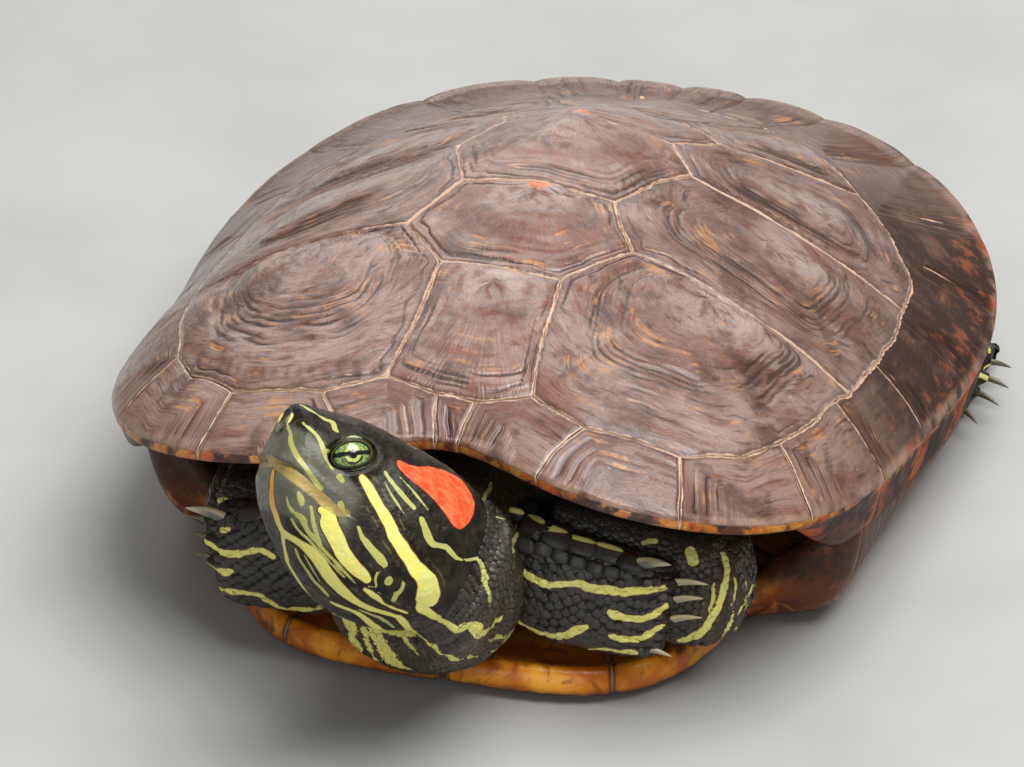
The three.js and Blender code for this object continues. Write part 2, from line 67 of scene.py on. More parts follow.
def smooth(low, high, value):
    """0 below low, 1 above high and an easy curve between."""
    t = np.clip((value - low) / (high - low), 0.0, 1.0)
    return t * t * (3.0 - 2.0 * t)


def mix(a, b, t):
    return a + (b - a) * t


def bump(value, centre, width):
    """A rounded bump, 1 at its centre."""
    return np.exp(-(((value - centre) / width) ** 2))


def unit(vectors):
    vectors = np.asarray(vectors, float)
    return vectors / np.maximum(np.linalg.norm(vectors, axis=-1, keepdims=True), 1e-12)


def turns(count):
    """Angles evenly round a circle."""
    return 2 * math.pi * np.arange(count) / count


def noise(points, size, seed=0):
    """Smooth noise from -1 to 1, with features about size millimetres across."""
    place = np.asarray(points, float) / size + 97.3
    cell = np.floor(place).astype(np.int64)
    within = place - cell
    within = within * within * (3.0 - 2.0 * within)
    total = 0.0
    for x in (0, 1):
        for y in (0, 1):
            for z in (0, 1):
                mixed = (cell[..., 0] + x) * 374761393 + (cell[..., 1] + y) * 668265263
                mixed = mixed + (cell[..., 2] + z) * 2147483647 + seed * 144665
                mixed = (mixed ^ (mixed >> 13)) * 1274126177
                mixed = (mixed ^ (mixed >> 16)) & 0xFFFF
                weight = np.where(x, within[..., 0], 1.0 - within[..., 0])
                weight = weight * np.where(y, within[..., 1], 1.0 - within[..., 1])
                weight = weight * np.where(z, within[..., 2], 1.0 - within[..., 2])
                total = total + weight * mixed
    return total / 32767.5 - 1.0


def rough(points, size, seed=0, octaves=3):
    """Noise with finer noise on it."""
    total = 0.0
    for step in range(octaves):
        total = total + noise(points, size / 2.1**step, seed + step) * 0.5**step
    return total


def curve_through(knots, per_span=6, closed=False):
    """A smooth line through points of any dimension."""
    knots = np.asarray(knots, float)
    count = len(knots)
    spans = count if closed else count - 1
    out = []
    for i in range(spans):
        if closed:
            before, a, b, after = (knots[(i + k) % count] for k in (-1, 0, 1, 2))
        else:
            a, b = knots[i], knots[i + 1]
            before = knots[i - 1] if i else 2 * a - b
            after = knots[i + 2] if i + 2 < count else 2 * b - a
        for t in np.arange(per_span) / per_span:
            out.append(
                0.5 * (2 * a + (b - before) * t + (2 * before - 5 * a + 4 * b - after) * t**2
                       + (3 * a - before - 3 * b + after) * t**3)
            )
    if not closed:
        out.append(knots[-1])
    return np.array(out)


def run_along(line):
    """The length from a line's first point to each of its points."""
    return np.concatenate([[0.0], np.cumsum(np.linalg.norm(np.diff(line, axis=0), axis=1))])


def read_at(places, steps, values):
    """Rows of values, given at steps, read at places between them."""
    return np.stack([np.interp(places, steps, column) for column in values.T], -1)


def along(line, places):
    """Points of a line at these fractions of its length."""
    line = np.asarray(line, float)
    run = run_along(line)
    return read_at(places, run / run[-1], line)


def to_segments(points, line, across=None):
    """Distance from each point to a line of segments, and how far along it the nearest place is (0 to 1).

    With across, a direction for each point, the distance is measured at right angles to it.
    """
    line = np.asarray(line, float)
    best = np.full(len(points), 1e9)
    where = np.zeros(len(points))
    spans = len(line) - 1
    for i in range(spans):
        a = line[i]
        edge = line[i + 1] - a
        t = np.clip(((points - a) @ edge) / max(edge @ edge, 1e-12), 0.0, 1.0)
        gap = points - a - t[:, None] * edge
        if across is not None:
            off = np.sum(gap * across, axis=1)
            gap = gap - off[:, None] * across
        distance = np.linalg.norm(gap, axis=1)
        if across is not None:
            distance = distance + 3.0 * np.maximum(np.abs(off) - 6.0, 0.0)
        nearer = distance < best
        best = np.where(nearer, distance, best)
        where = np.where(nearer, (i + t) / spans, where)
    return best, where


def inside(points, outline):
    """Whether each plan point lies in a closed outline."""
    result = np.zeros(len(points), bool)
    x, y = points[:, 0], points[:, 1]
    for (x0, y0), (x1, y1) in zip(outline, np.roll(outline, -1, axis=0)):
        if y0 != y1:
            crosses = (y0 > y) != (y1 > y)
            result ^= crosses & (x < (x1 - x0) * (y - y0) / (y1 - y0) + x0)
    return result


# ------------------------------------------------------------------------------------------
# Meshes


def grid_faces(rows, columns, closed=False):
    """Quads over a grid of points; closed joins the last column to the first."""
    row = np.arange(rows - 1)[:, None]
    column = np.arange(columns if closed else columns - 1)[None, :]
    after = (column + 1) % columns
    here, below = row * columns, (row + 1) * columns
    corners = (here + column, here + after, below + after, below + column)
    return np.stack([np.broadcast_to(c, (rows - 1, column.size)) for c in corners], -1).reshape(-1, 4)


def cone_faces(start, count, tip):
    """Triangles from the ring of count points that begins at start to the point tip after it."""
    around = np.arange(count)
    return np.stack([start + around, start + (around + 1) % count, np.full(count, tip)], 1)


def closed_body(rings, first_tip, last_tip):
    """Points and faces of a body through rings of points, with a cone at each end."""
    rows, count = rings.shape[:2]
    points = np.concatenate([rings.reshape(-1, 3), [first_tip], [last_tip]])
    first = cone_faces(0, count, rows * count)[:, [1, 0, 2]]
    last = cone_faces((rows - 1) * count, count, rows * count + 1)
    return points, [grid_faces(rows, count, closed=True), first, last]


def read_all(items, key, size=1, kind=float):
    """One property of all of a mesh's vertices, loops or faces, as rows of size numbers."""
    values = np.zeros(len(items) * size, kind)
    items.foreach_get(key, values)
    return values.reshape(-1, size) if size > 1 else values


def grid_normals(points):
    """Normals of a rows x columns grid of points."""
    down = np.gradient(points, axis=0)
    over = np.gradient(points, axis=1)
    return unit(np.cross(down, over))


class Surface:
    """Points in millimetres, faces and named values for each point, gathered before they become one mesh."""

    def __init__(self):
        self.points = []
        self.faces = []
        self.values = {}
        self.count = 0

    def add(self, points, faces, **values):
        points = np.asarray(points, float).reshape(-1, 3)
        for face_set in faces if isinstance(faces, list) else [faces]:
            self.faces.append(np.asarray(face_set) + self.count)
        for name, value in values.items():
            value = np.asarray(value, float)
            if value.ndim == 0:
                value = np.full(len(points), float(value))
            self.values.setdefault(name, []).append(value)
        self.points.append(points)
        self.count += len(points)

    def mark(self, marks):
        """Gives every point so far these named values."""
        self.values.update({name: [value] for name, value in marks.items()})

    def array(self):
        return np.concatenate(self.points)

    def build(self, name, material, heart=None):
        """Makes the object. Faces turn away from heart, by default the middle of the points."""
        points = self.array()
        faces = [face for face_set in self.faces for face in face_set.tolist()]
        mesh = bpy.data.meshes.new(name)
        mesh.from_pydata((points * MM).tolist(), [], faces)
        mesh.update()
        for key, values in self.values.items():
            value = np.concatenate(values)
            kind, field = ("FLOAT_VECTOR", "vector") if value.ndim == 2 else ("FLOAT", "value")
            mesh.attributes.new(key, kind, "POINT").data.foreach_set(field, value.ravel())
        mesh.polygons.foreach_set("use_smooth", [True] * len(mesh.polygons))
        heart = points.mean(axis=0) if heart is None else np.asarray(heart, float)
        facing = read_all(mesh.polygons, "normal", 3)
        outward = read_all(mesh.polygons, "center", 3) - heart * MM
        if np.sum(facing * outward * read_all(mesh.polygons, "area")[:, None]) < 0:
            mesh.flip_normals()
        mesh.materials.append(material)
        obj = bpy.data.objects.new(name, mesh)
        bpy.context.scene.collection.objects.link(obj)
        return obj


def settle(obj, nodes):
    """Puts a finished piece on the turtle's body in place of its solids."""
    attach(obj, "root")
    if nodes:
        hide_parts(*nodes)


# ------------------------------------------------------------------------------------------
# Node materials


class Finish:
    """A material put together from nodes; sockets and plain numbers can be given alike."""

    def __init__(self, name):
        self.material = bpy.data.materials.new(name)
        self.material.use_nodes = True
        self.tree = self.material.node_tree
        self.tree.nodes.clear()
        self.shader = self.tree.nodes.new("ShaderNodeBsdfPrincipled")
        output = self.tree.nodes.new("ShaderNodeOutputMaterial")
        self.tree.links.new(self.shader.outputs["BSDF"], output.inputs["Surface"])
        place = self.tree.nodes.new("ShaderNodeTexCoord").outputs["Object"]
        self.place = self.maths_vector("SCALE", place, 1.0 / MM)

    def plug(self, socket, value):
        """Links a socket to another, or sets it to a number or a colour."""
        if isinstance(value, bpy.types.NodeSocket):
            self.tree.links.new(value, socket)
        elif hasattr(value, "__len__") and len(value) == 3 and socket.type == "RGBA":
            socket.default_value = (*value, 1.0)
        else:
            socket.default_value = value

    def maths_vector(self, operation, vector, scale):
        """A vector times one number (SCALE) or times three (MULTIPLY)."""
        node = self.tree.nodes.new("ShaderNodeVectorMath")
        node.operation = operation
        self.plug(node.inputs[0], vector)
        self.plug(node.inputs["Scale" if operation == "SCALE" else 1], scale)
        return node.outputs[0]

    def place_height(self):
        """Height above the floor in millimetres."""
        node = self.tree.nodes.new("ShaderNodeSeparateXYZ")
        self.plug(node.inputs[0], self.place)
        return node.outputs["Z"]

    def value(self, name, output="Fac"):
        """A value that the mesh carries at each point."""
        node = self.tree.nodes.new("ShaderNodeAttribute")
        node.attribute_name = name
        return node.outputs[output]

    def maths(self, operation, a, b=0.0, c=0.0):
        node = self.tree.nodes.new("ShaderNodeMath")
        node.operation = operation
        for socket, value in zip(node.inputs, (a, b, c)):
            self.plug(socket, value)
        return node.outputs[0]

    def times(self, a, b):
        return self.maths("MULTIPLY", a, b)

    def plus(self, a, b):
        return self.maths("ADD", a, b)

    def minus(self, a, b):
        return self.maths("SUBTRACT", a, b)

    def ease(self, value, low, high, to_low=0.0, to_high=1.0):
        """An easy curve from to_low, where value is low, to to_high, where it is high."""
        node = self.tree.nodes.new("ShaderNodeMapRange")
        node.interpolation_type = "SMOOTHSTEP"
        names = ("Value", "From Min", "From Max", "To Min", "To Max")
        for name, given in zip(names, (value, low, high, to_low, to_high)):
            self.plug(node.inputs[name], given)
        return node.outputs["Result"]

    def noise(self, size, vector=None, detail=2.0, rough=0.55, twist=0.0):
        """Noise from about 0 to 1, with features about size millimetres across."""
        node = self.tree.nodes.new("ShaderNodeTexNoise")
        self.plug(node.inputs["Vector"], self.place if vector is None else vector)
        self.plug(node.inputs["Scale"], 1.0 / size)
        self.plug(node.inputs["Detail"], detail)
        self.plug(node.inputs["Roughness"], rough)
        self.plug(node.inputs["Distortion"], twist)
        return node.outputs["Fac"]

    def patches(self, size, low, high, to_low=0.0, to_high=1.0):
        """Soft patches about size millimetres across."""
        return self.ease(self.noise(size, detail=3), low, high, to_low, to_high)

    def pebbles(self, size):
        """Distance from the middle of soft round cells about size millimetres across."""
        node = self.tree.nodes.new("ShaderNodeTexVoronoi")
        node.feature = "SMOOTH_F1"
        self.plug(node.inputs["Vector"], self.place)
        self.plug(node.inputs["Scale"], 1.0 / size)
        return node.outputs["Distance"]

    def blend(self, factor, a, b):
        """Colour a where factor is 0, colour b where it is 1."""
        node = self.tree.nodes.new("ShaderNodeMix")
        node.data_type = "RGBA"
        self.plug(node.inputs["Factor"], factor)
        self.plug(node.inputs[6], a)
        self.plug(node.inputs[7], b)
        return node.outputs[2]

    def bump(self, height, depth, before=None):
        """Bump from a height of 0 to 1 that stands for depth millimetres."""
        node = self.tree.nodes.new("ShaderNodeBump")
        self.plug(node.inputs["Height"], height)
        node.inputs["Distance"].default_value = depth * MM
        if before is not None:
            self.plug(node.inputs["Normal"], before)
        return node.outputs["Normal"]

    def done(self, colour, roughness, normal=None, **constants):
        """The finished material; constants are set on the shader's own sockets."""
        self.plug(self.shader.inputs["Base Color"], colour)
        self.plug(self.shader.inputs["Roughness"], roughness)
        if normal is not None:
            self.plug(self.shader.inputs["Normal"], normal)
        for name, value in constants.items():
            self.shader.inputs[name.replace("_", " ").title().replace("Ior", "IOR")].default_value = value
        return self.material


# ------------------------------------------------------------------------------------------
# Shell form. An angle of 0 is the head end and 90 degrees the turtle's left.

CENTRE_Y = -1.9
HALF_LENGTH = 115.0
HALF_WIDTH = 90.5
APEX_HEIGHT = 84.0
FRONT_SQUARENESS = 3.48
REAR_SQUARENESS = 2.67
NUCHAL_BAY = 0.111
INNER_BAY = 0.03
SHELL_THICK = 4.5
RIM_LIP = 2.6
UNDER_RIM_DROP = 12.5
UNDER_RIM_IN = 0.96
BRIDGE_WALL = 0.07


def turned(angle, degrees, width):
    return bump(angle, math.radians(degrees), math.radians(width))


def rim_radius(angle, bay=NUCHAL_BAY):
    """Outline of the rim in plan."""
    c = np.cos(angle)
    s = np.sin(angle)
    length = np.where(c > 0, HALF_LENGTH + CENTRE_Y, HALF_LENGTH - CENTRE_Y)
    n = np.where(c > 0, FRONT_SQUARENESS, REAR_SQUARENESS)
    oval = (np.abs(s / HALF_WIDTH) ** n + np.abs(c / length) ** n) ** (-1.0 / n)
    off = np.arctan2(s, c)
    notch = 1.0 - bay * np.exp(-((off / 0.22) ** 2))
    waist = 0.034 * np.cos(3 * angle) * s * s - 0.011 * np.sin(2 * np.abs(off)) * np.abs(s)
    uneven = 0.02 * turned(off, -60, 17) - 0.014 * turned(off, -112, 22)
    return oval * (notch + waist + uneven)


def rim_height(angle):
    waves = ((10.92, 1), (10.31, 2), (0.98, 3), (0.56, 4))
    return 38.4 + sum(size * np.cos(times * angle) for size, times in waves)


def bay_share(r):
    """The bay over the neck is full at the rim and has faded at half the way to the middle of the shell."""
    return np.clip((r - 0.55) / 0.45, 0.0, 1.0) ** 2


def carapace_radius(angle, r):
    return r * mix(rim_radius(angle, INNER_BAY), rim_radius(angle), bay_share(r))


def carapace_height(angle, r):
    roundness = 1.3 + 0.264 * np.cos(angle) + 0.172 * np.cos(2 * angle)
    fall = 0.9 - 0.293 * np.cos(angle) + 0.2 * np.cos(2 * angle)
    soft = 0.06
    rise = (r * r + soft * soft) ** (roundness / 2) - soft**roundness
    out = rise / ((1 + soft * soft) ** (roundness / 2) - soft**roundness)
    return mix(rim_height(angle), APEX_HEIGHT, np.clip(1 - out, 0.0, 1.0) ** fall)


def shell_point(angle, radius, height):
    return np.stack([radius * np.sin(angle), CENTRE_Y - radius * np.cos(angle), height + 0 * angle], -1)


def dome(x, y):
    """Height of the carapace over a plan point."""
    angle = np.arctan2(x, CENTRE_Y - y)
    reach = np.hypot(x, CENTRE_Y - y)
    near, far = rim_radius(angle, INNER_BAY), rim_radius(angle)
    r = reach / near
    for _ in range(8):
        r = reach / mix(near, far, bay_share(r))
    return carapace_height(angle, np.clip(r, 0.0, 1.0))


def dome_normal(x, y):
    step = 0.6
    slope_x = (dome(x + step, y) - dome(x - step, y)) / (2 * step)
    slope_y = (dome(x, y + step) - dome(x, y - step)) / (2 * step)
    return unit(np.stack([-slope_x, -slope_y, np.ones_like(slope_x)], -1))


def off_front(angle):
    return np.abs(np.degrees(np.arctan2(np.sin(angle), np.cos(angle))))


def bridged(angle):
    """1 where the rim turns down along the bridge, 0 at the openings for the limbs."""
    return smooth(30, 50, off_front(angle)) * (1 - smooth(110, 128, off_front(angle)))


def buttressed(angle):
    """1 where the plastron reaches out and up to the rim."""
    return smooth(41, 56, off_front(angle)) * (1 - smooth(104, 119, off_front(angle)))


# ------------------------------------------------------------------------------------------
# Scutes of the back

NUCHAL_BACK = (4.1, -94)
SEAM_V1_C1 = (16.1, -91.2)
SEAM_V1_WAIST = (14, -74)
SEAM_V1_V2 = (13.5, -56)
SEAM_C1_C2 = (25.4, -42)
SEAM_V2_V3 = (17.6, -24.5)
SEAM_C2_C3 = (27.2, 6.5)
SEAM_V3_V4 = (19.4, 21)
SEAM_C3_C4 = (25, 42)
SEAM_V4_V5 = (12.5, 60)
SEAM_V5_BACK = (27, 87.5)
KNOB_2 = (0, -24)
KNOB_3 = (0, 16)
RIM_C1 = [(28.6, -96.6), (49.1, -95.7), (61, -88), (66.8, -78), (71.5, -62)]
RIM_C1_C2 = (74, -44)
RIM_C2 = [(76.4, -20)]
RIM_C2_C3 = (76.2, 10)
RIM_C3 = [(74.5, 26.5), (68.6, 38), (62.5, 47)]
RIM_C3_C4 = (55, 57)
RIM_C4 = [(47, 68), (37, 79.5)]
RIM_BACK = (0, 97.5)

CENTRAL_SCUTES = {
    "vertebral_1": [NUCHAL_BACK, SEAM_V1_C1, SEAM_V1_WAIST, SEAM_V1_V2],
    "vertebral_2": [SEAM_V1_V2, SEAM_C1_C2, SEAM_V2_V3, KNOB_2],
    "vertebral_3": [KNOB_2, SEAM_V2_V3, SEAM_C2_C3, SEAM_V3_V4, KNOB_3],
    "vertebral_4": [KNOB_3, SEAM_V3_V4, SEAM_C3_C4, SEAM_V4_V5],
    "vertebral_5": [SEAM_V4_V5, SEAM_V5_BACK, RIM_BACK],
}
COSTALS = {
    "costal_1": [SEAM_V1_C1, *RIM_C1, RIM_C1_C2, SEAM_C1_C2, SEAM_V1_V2, SEAM_V1_WAIST],
    "costal_2": [SEAM_C1_C2, RIM_C1_C2, *RIM_C2, RIM_C2_C3, SEAM_C2_C3, SEAM_V2_V3],
    "costal_3": [SEAM_C2_C3, RIM_C2_C3, *RIM_C3, RIM_C3_C4, SEAM_C3_C4, SEAM_V3_V4],
    "costal_4": [SEAM_C3_C4, RIM_C3_C4, *RIM_C4, SEAM_V5_BACK, SEAM_V4_V5],
}
INNER_RIM = [
    NUCHAL_BACK, SEAM_V1_C1, *RIM_C1, RIM_C1_C2, *RIM_C2, RIM_C2_C3, *RIM_C3, RIM_C3_C4, *RIM_C4,
    SEAM_V5_BACK, RIM_BACK,
]
# The oldest part of each scute, which its growth rings surround
AREOLAS = {
    "vertebral_1": (0, -62), "vertebral_2": (0, -29), "vertebral_3": (0, 8), "vertebral_4": (0, 48),
    "vertebral_5": (0, 76), "costal_1": (43, -47.5), "costal_2": (47, -7), "costal_3": (45, 28),
    "costal_4": (33, 67),
}
# Growth rings: how far out each groove lies, and how deep it is in millimetres
COSTAL_RINGS = (
    (0.2, 0.1), (0.27, 0.14), (0.34, 0.12), (0.4, 0.2), (0.45, 0.28), (0.495, 0.42), (0.535, 0.7),
    (0.57, 0.4), (0.605, 0.75), (0.64, 0.45), (0.675, 0.7), (0.71, 0.4), (0.755, 0.25), (0.82, 0.14),
    (0.9, 0.1),
)
VERTEBRAL_RINGS = (
    (0.54, 0.08), (0.66, 0.12), (0.75, 0.2), (0.81, 0.36), (0.85, 0.45), (0.89, 0.5), (0.93, 0.42),
)
PLATE_ROWS = 90
PLATE_STEP = 0.8
DEEPEST_GROOVE = 0.62
KEEL_KNOBS = ((-60, 0.5), (-26.5, 1.3), (12.5, 1.5), (55, 1.0), (90, 0.8))
# Each scute's edge drops away to the seam
EDGE_DROP = 0.26
EDGE_ROUND = 0.8


def mirrored(outline):
    return [(-x, y) for x, y in reversed(outline)]


def both_sides(half):
    return half + [point for point in mirrored(half) if point[0] != 0]


def wander(plan):
    """The small wander of the seams, which moves the plates on both sides of one alike."""
    flat = np.concatenate([plan, np.zeros((len(plan), 1))], 1)
    slow = np.stack([noise(flat, 13, 1), noise(flat, 13, 2)], 1)
    quick = np.stack([rough(flat, 4, 3, 2), rough(flat, 4, 5, 2)], 1)
    return plan + 0.9 * slow + 0.28 * quick


def keel(x, y):
    """The low worn keel, rising to a knob at the back of each vertebral."""
    height = 0.25 * bump(x, 0, 6)
    for knob, size in KEEL_KNOBS:
        before = smooth(knob - 26, knob, y) * (1 - smooth(knob + 0.4, knob + 3.0, y))
        point = bump(y, knob, 2.6) * bump(x, 0, 3.2)
        height = height + size * (0.45 * before * bump(x, 0, 5) + 0.55 * point)
    return height


def evened(outline, count):
    closed = np.concatenate([outline, outline[:1]])
    return along(closed, np.arange(count) / count)


def softened(outline, spread):
    """The closed outline with its corners rounded over spread of its points."""
    count = len(outline)
    steps = np.minimum(np.arange(count), count - np.arange(count))
    kernel = np.exp(-((steps / spread) ** 2))
    kernel = kernel / kernel.sum()
    spread_out = np.fft.fft(outline, axis=0) * np.fft.fft(kernel)[:, None]
    return np.real(np.fft.ifft(spread_out, axis=0))


def plate(name, outline, areola, rings, seam, relief, side=1):
    """One scute of the back, as points running out from its areola to the seam, then down its edge."""
    outline = np.array(outline, float)
    length = np.linalg.norm(np.roll(outline, -1, axis=0) - outline, axis=1).sum()
    rows, columns = PLATE_ROWS, int(length / PLATE_STEP)
    rim = evened(outline, columns)
    round_rim = softened(rim, columns * 0.03)
    t = (1 - (1 - np.linspace(0.004, 1, rows)) ** 1.15)[:, None, None]
    centre = np.array(areola, float)
    plan = centre + t * (mix(round_rim, rim, smooth(0.75, 1.0, t)) - centre)
    reach = np.broadcast_to(np.linalg.norm(rim - centre, axis=1), (rows, columns))
    closed_rim = np.concatenate([rim, rim[:1]])
    edge = to_segments(plan.reshape(-1, 2), closed_rim)[0].reshape(rows, columns)
    plan = plan + (centre - plan) / np.maximum(reach, 1)[..., None] * seam * t
    plan = wander(plan.reshape(-1, 2)).reshape(rows, columns, 2)
    x, y = plan[..., 0], plan[..., 1]
    base = np.stack([x, y, dome(x, y)], -1)
    normal = dome_normal(x, y)
    seed = sum(map(ord, name)) * 2 + (side < 0)
    ring = np.broadcast_to(t[..., 0], (rows, columns)) + 0.02 * rough(base, 15, seed, 3)
    grooves = np.zeros((rows, columns))
    lines = np.zeros((rows, columns))
    # the rings are strongest on the side of the scute towards the rim and the head
    ahead = unit(plan - centre)
    downhill = ahead[..., 0] * side * 0.55 - ahead[..., 1] * 0.83
    if "costal" in name:
        strong = mix(0.35, 1.0, smooth(-0.5, 0.5, downhill))
    else:
        strong = mix(0.3, 1.0, smooth(0, 0.9, -ahead[..., 1]))
    roomy = smooth(3.0, 12.0, reach) * strong
    for place, depth in rings:
        away = (ring - place) * reach
        uneven = np.clip(0.62 + 1.2 * noise(base, 8, seed + int(place * 100)), 0.0, 1.6)
        grooves = grooves + depth * roomy * uneven * bump(away, 0, np.where(away > 0, 1.3, 0.5))
        clear = np.clip(depth * 1.8, 0.15, 1) * uneven
        lines = np.maximum(lines, roomy * clear * bump(away, 0.1, 0.42))
    pillow = 0.75 * (1 - smooth(0.4, 0.72, ring)) * strong + 0.25 * bump(ring, 0.88, 0.1)
    drop = EDGE_DROP * (1 - smooth(0, EDGE_ROUND, edge)) + 0.16 * (1 - smooth(0, 4, edge))
    turn = turns(columns)
    size = length / (2 * math.pi)
    pleats = np.sin(turn * size * 2.1 + 2.5 * noise(base, 6, seed + 21))
    pleats = pleats * smooth(0.2, 0.7, noise(base, 14, seed + 22))
    pleats = 0.22 * pleats * smooth(0.4, 1.5, edge) * (1 - smooth(3.5, 7, edge))
    folds = 0.09 * rough(base, 4.5, seed + 9, 3) + 0.3 * rough(base, 19, seed + 7, 2)
    grooves = DEEPEST_GROOVE * np.tanh(grooves / DEEPEST_GROOVE)
    high = relief * (pillow - grooves + folds + pleats) - drop + keel(x, y)
    # a crack wanders along inside the seam
    crack = edge + 1.1 * rough(base, 7, seed + 31, 2)
    cracked = smooth(0.05, 0.45, noise(base, 17, seed + 33)) * smooth(0.25, 0.7, edge)
    high = high - relief * 0.3 * cracked * bump(crack, 1.9, 0.3)
    lines = np.maximum(lines, 0.9 * cracked * bump(crack, 1.9, 0.3))
    high = np.maximum(high, keel(x, y) - 0.52)
    top = base + normal * high[..., None]
    outward = np.concatenate([unit(rim - centre), np.zeros((columns, 1))], 1)
    skirt = top[-1] - normal[-1] * 1.3 - outward * 0.12
    points = np.concatenate([top, skirt[None]])
    fan = np.stack([
        np.broadcast_to(np.cos(turn) * size, (rows, columns)),
        np.broadcast_to(np.sin(turn) * size, (rows, columns)),
        ring * reach,
    ], -1)
    spot = centre + np.array([side * 6.0, 1.0]) if "costal" in name else centre
    old = bump(np.linalg.norm(plan - spot, axis=-1), 0, 10.0)

    def with_skirt(values, last):
        return np.concatenate([values, last[None]]).reshape(-1, *values.shape[2:])

    surface = Surface()
    surface.add(
        points, grid_faces(rows + 1, columns, closed=True),
        line=with_skirt(lines, lines[-1]),
        edge=with_skirt(edge, 0 * edge[-1]),
        old=with_skirt(old, old[-1]),
        fan=with_skirt(fan, fan[-1]),
        knob=with_skirt(knob_colour(x, y), 0 * x[-1]),
        radial=float("vertebral" in name),
    )
    surface.faces.append(cone_faces(0, columns, surface.count))
    surface.add(
        top[0].mean(axis=0)[None], np.zeros((0, 3), int), line=[0.0], edge=[20.0], old=[old[0, 0]],
        fan=[[0.0, 0.0, 0.0]], knob=[0.0], radial=float("vertebral" in name),
    )
    return surface


def knob_colour(x, y):
    """Worn orange horn on the keel's knobs."""
    colour = 0 * x
    for knob, _ in KEEL_KNOBS[1:3]:
        colour = np.maximum(colour, bump(y, knob + 0.4, 2.6) * bump(x, 0, 3.0))
    return colour


# ------------------------------------------------------------------------------------------
# Scutes of the rim

# Where each seam between two marginals leaves the inner line, and where it meets the rim
MARGINAL_SEAMS = [
    (NUCHAL_BACK, (2.4, -101)), ((28.6, -96.6), (21.4, -109.2)), ((49.1, -95.7), (52.5, -109.3)),
    ((66.7, -78), (76.3, -88.5)), ((73.2, -50.7), (85.4, -56.2)), ((76.4, -22), (88.6, -24)),
    ((76.4, 5), (90, 6)), ((72.5, 30.5), (89, 38)), ((61, 49.5), (80, 70.5)), ((42, 73), (60, 97.5)),
    ((25, 88.3), (36, 111.2)), ((11, 93.4), (16, 117.2)), ((0, 97.5), (0, 118)),
]
# Ridges parallel to a marginal's front and inner seams: how far in each groove lies, and how deep it is
RIM_RINGS = ((1.5, 0.12), (3.0, 0.45), (4.3, 0.25), (5.9, 0.5), (8.2, 0.3), (11.5, 0.12))
REAR_SCALLOP = 0.7
DULL_MARGINALS = (3, 4, 5, 6, 7, 8)
# How dark the flank's marginals are on the left and on the right: partly their darker horn, partly painted
# shade
FLANK_DARK_AND_SHADE = {1: 1.0, -1: 0.3}


def under_rim(angle):
    """The edge of the shell in section, from the rim round the lip to its inner face."""
    w = bridged(angle)
    height = rim_height(angle)
    out = mix(0.88, UNDER_RIM_IN, w)
    inner = mix(0.84, UNDER_RIM_IN - BRIDGE_WALL, w)
    radius = rim_radius(angle)
    inner_height = carapace_height(angle, inner) - SHELL_THICK
    return np.stack([
        shell_point(angle, radius, height),
        shell_point(angle, radius * 0.992, height - RIM_LIP),
        shell_point(angle, carapace_radius(angle, out),
                    mix(carapace_height(angle, out) - SHELL_THICK - 1, height - UNDER_RIM_DROP, w)),
        shell_point(angle, carapace_radius(angle, inner), mix(inner_height, height - UNDER_RIM_DROP, w)),
    ])


def rim_angle(point):
    return math.atan2(point[0], CENTRE_Y - point[1])


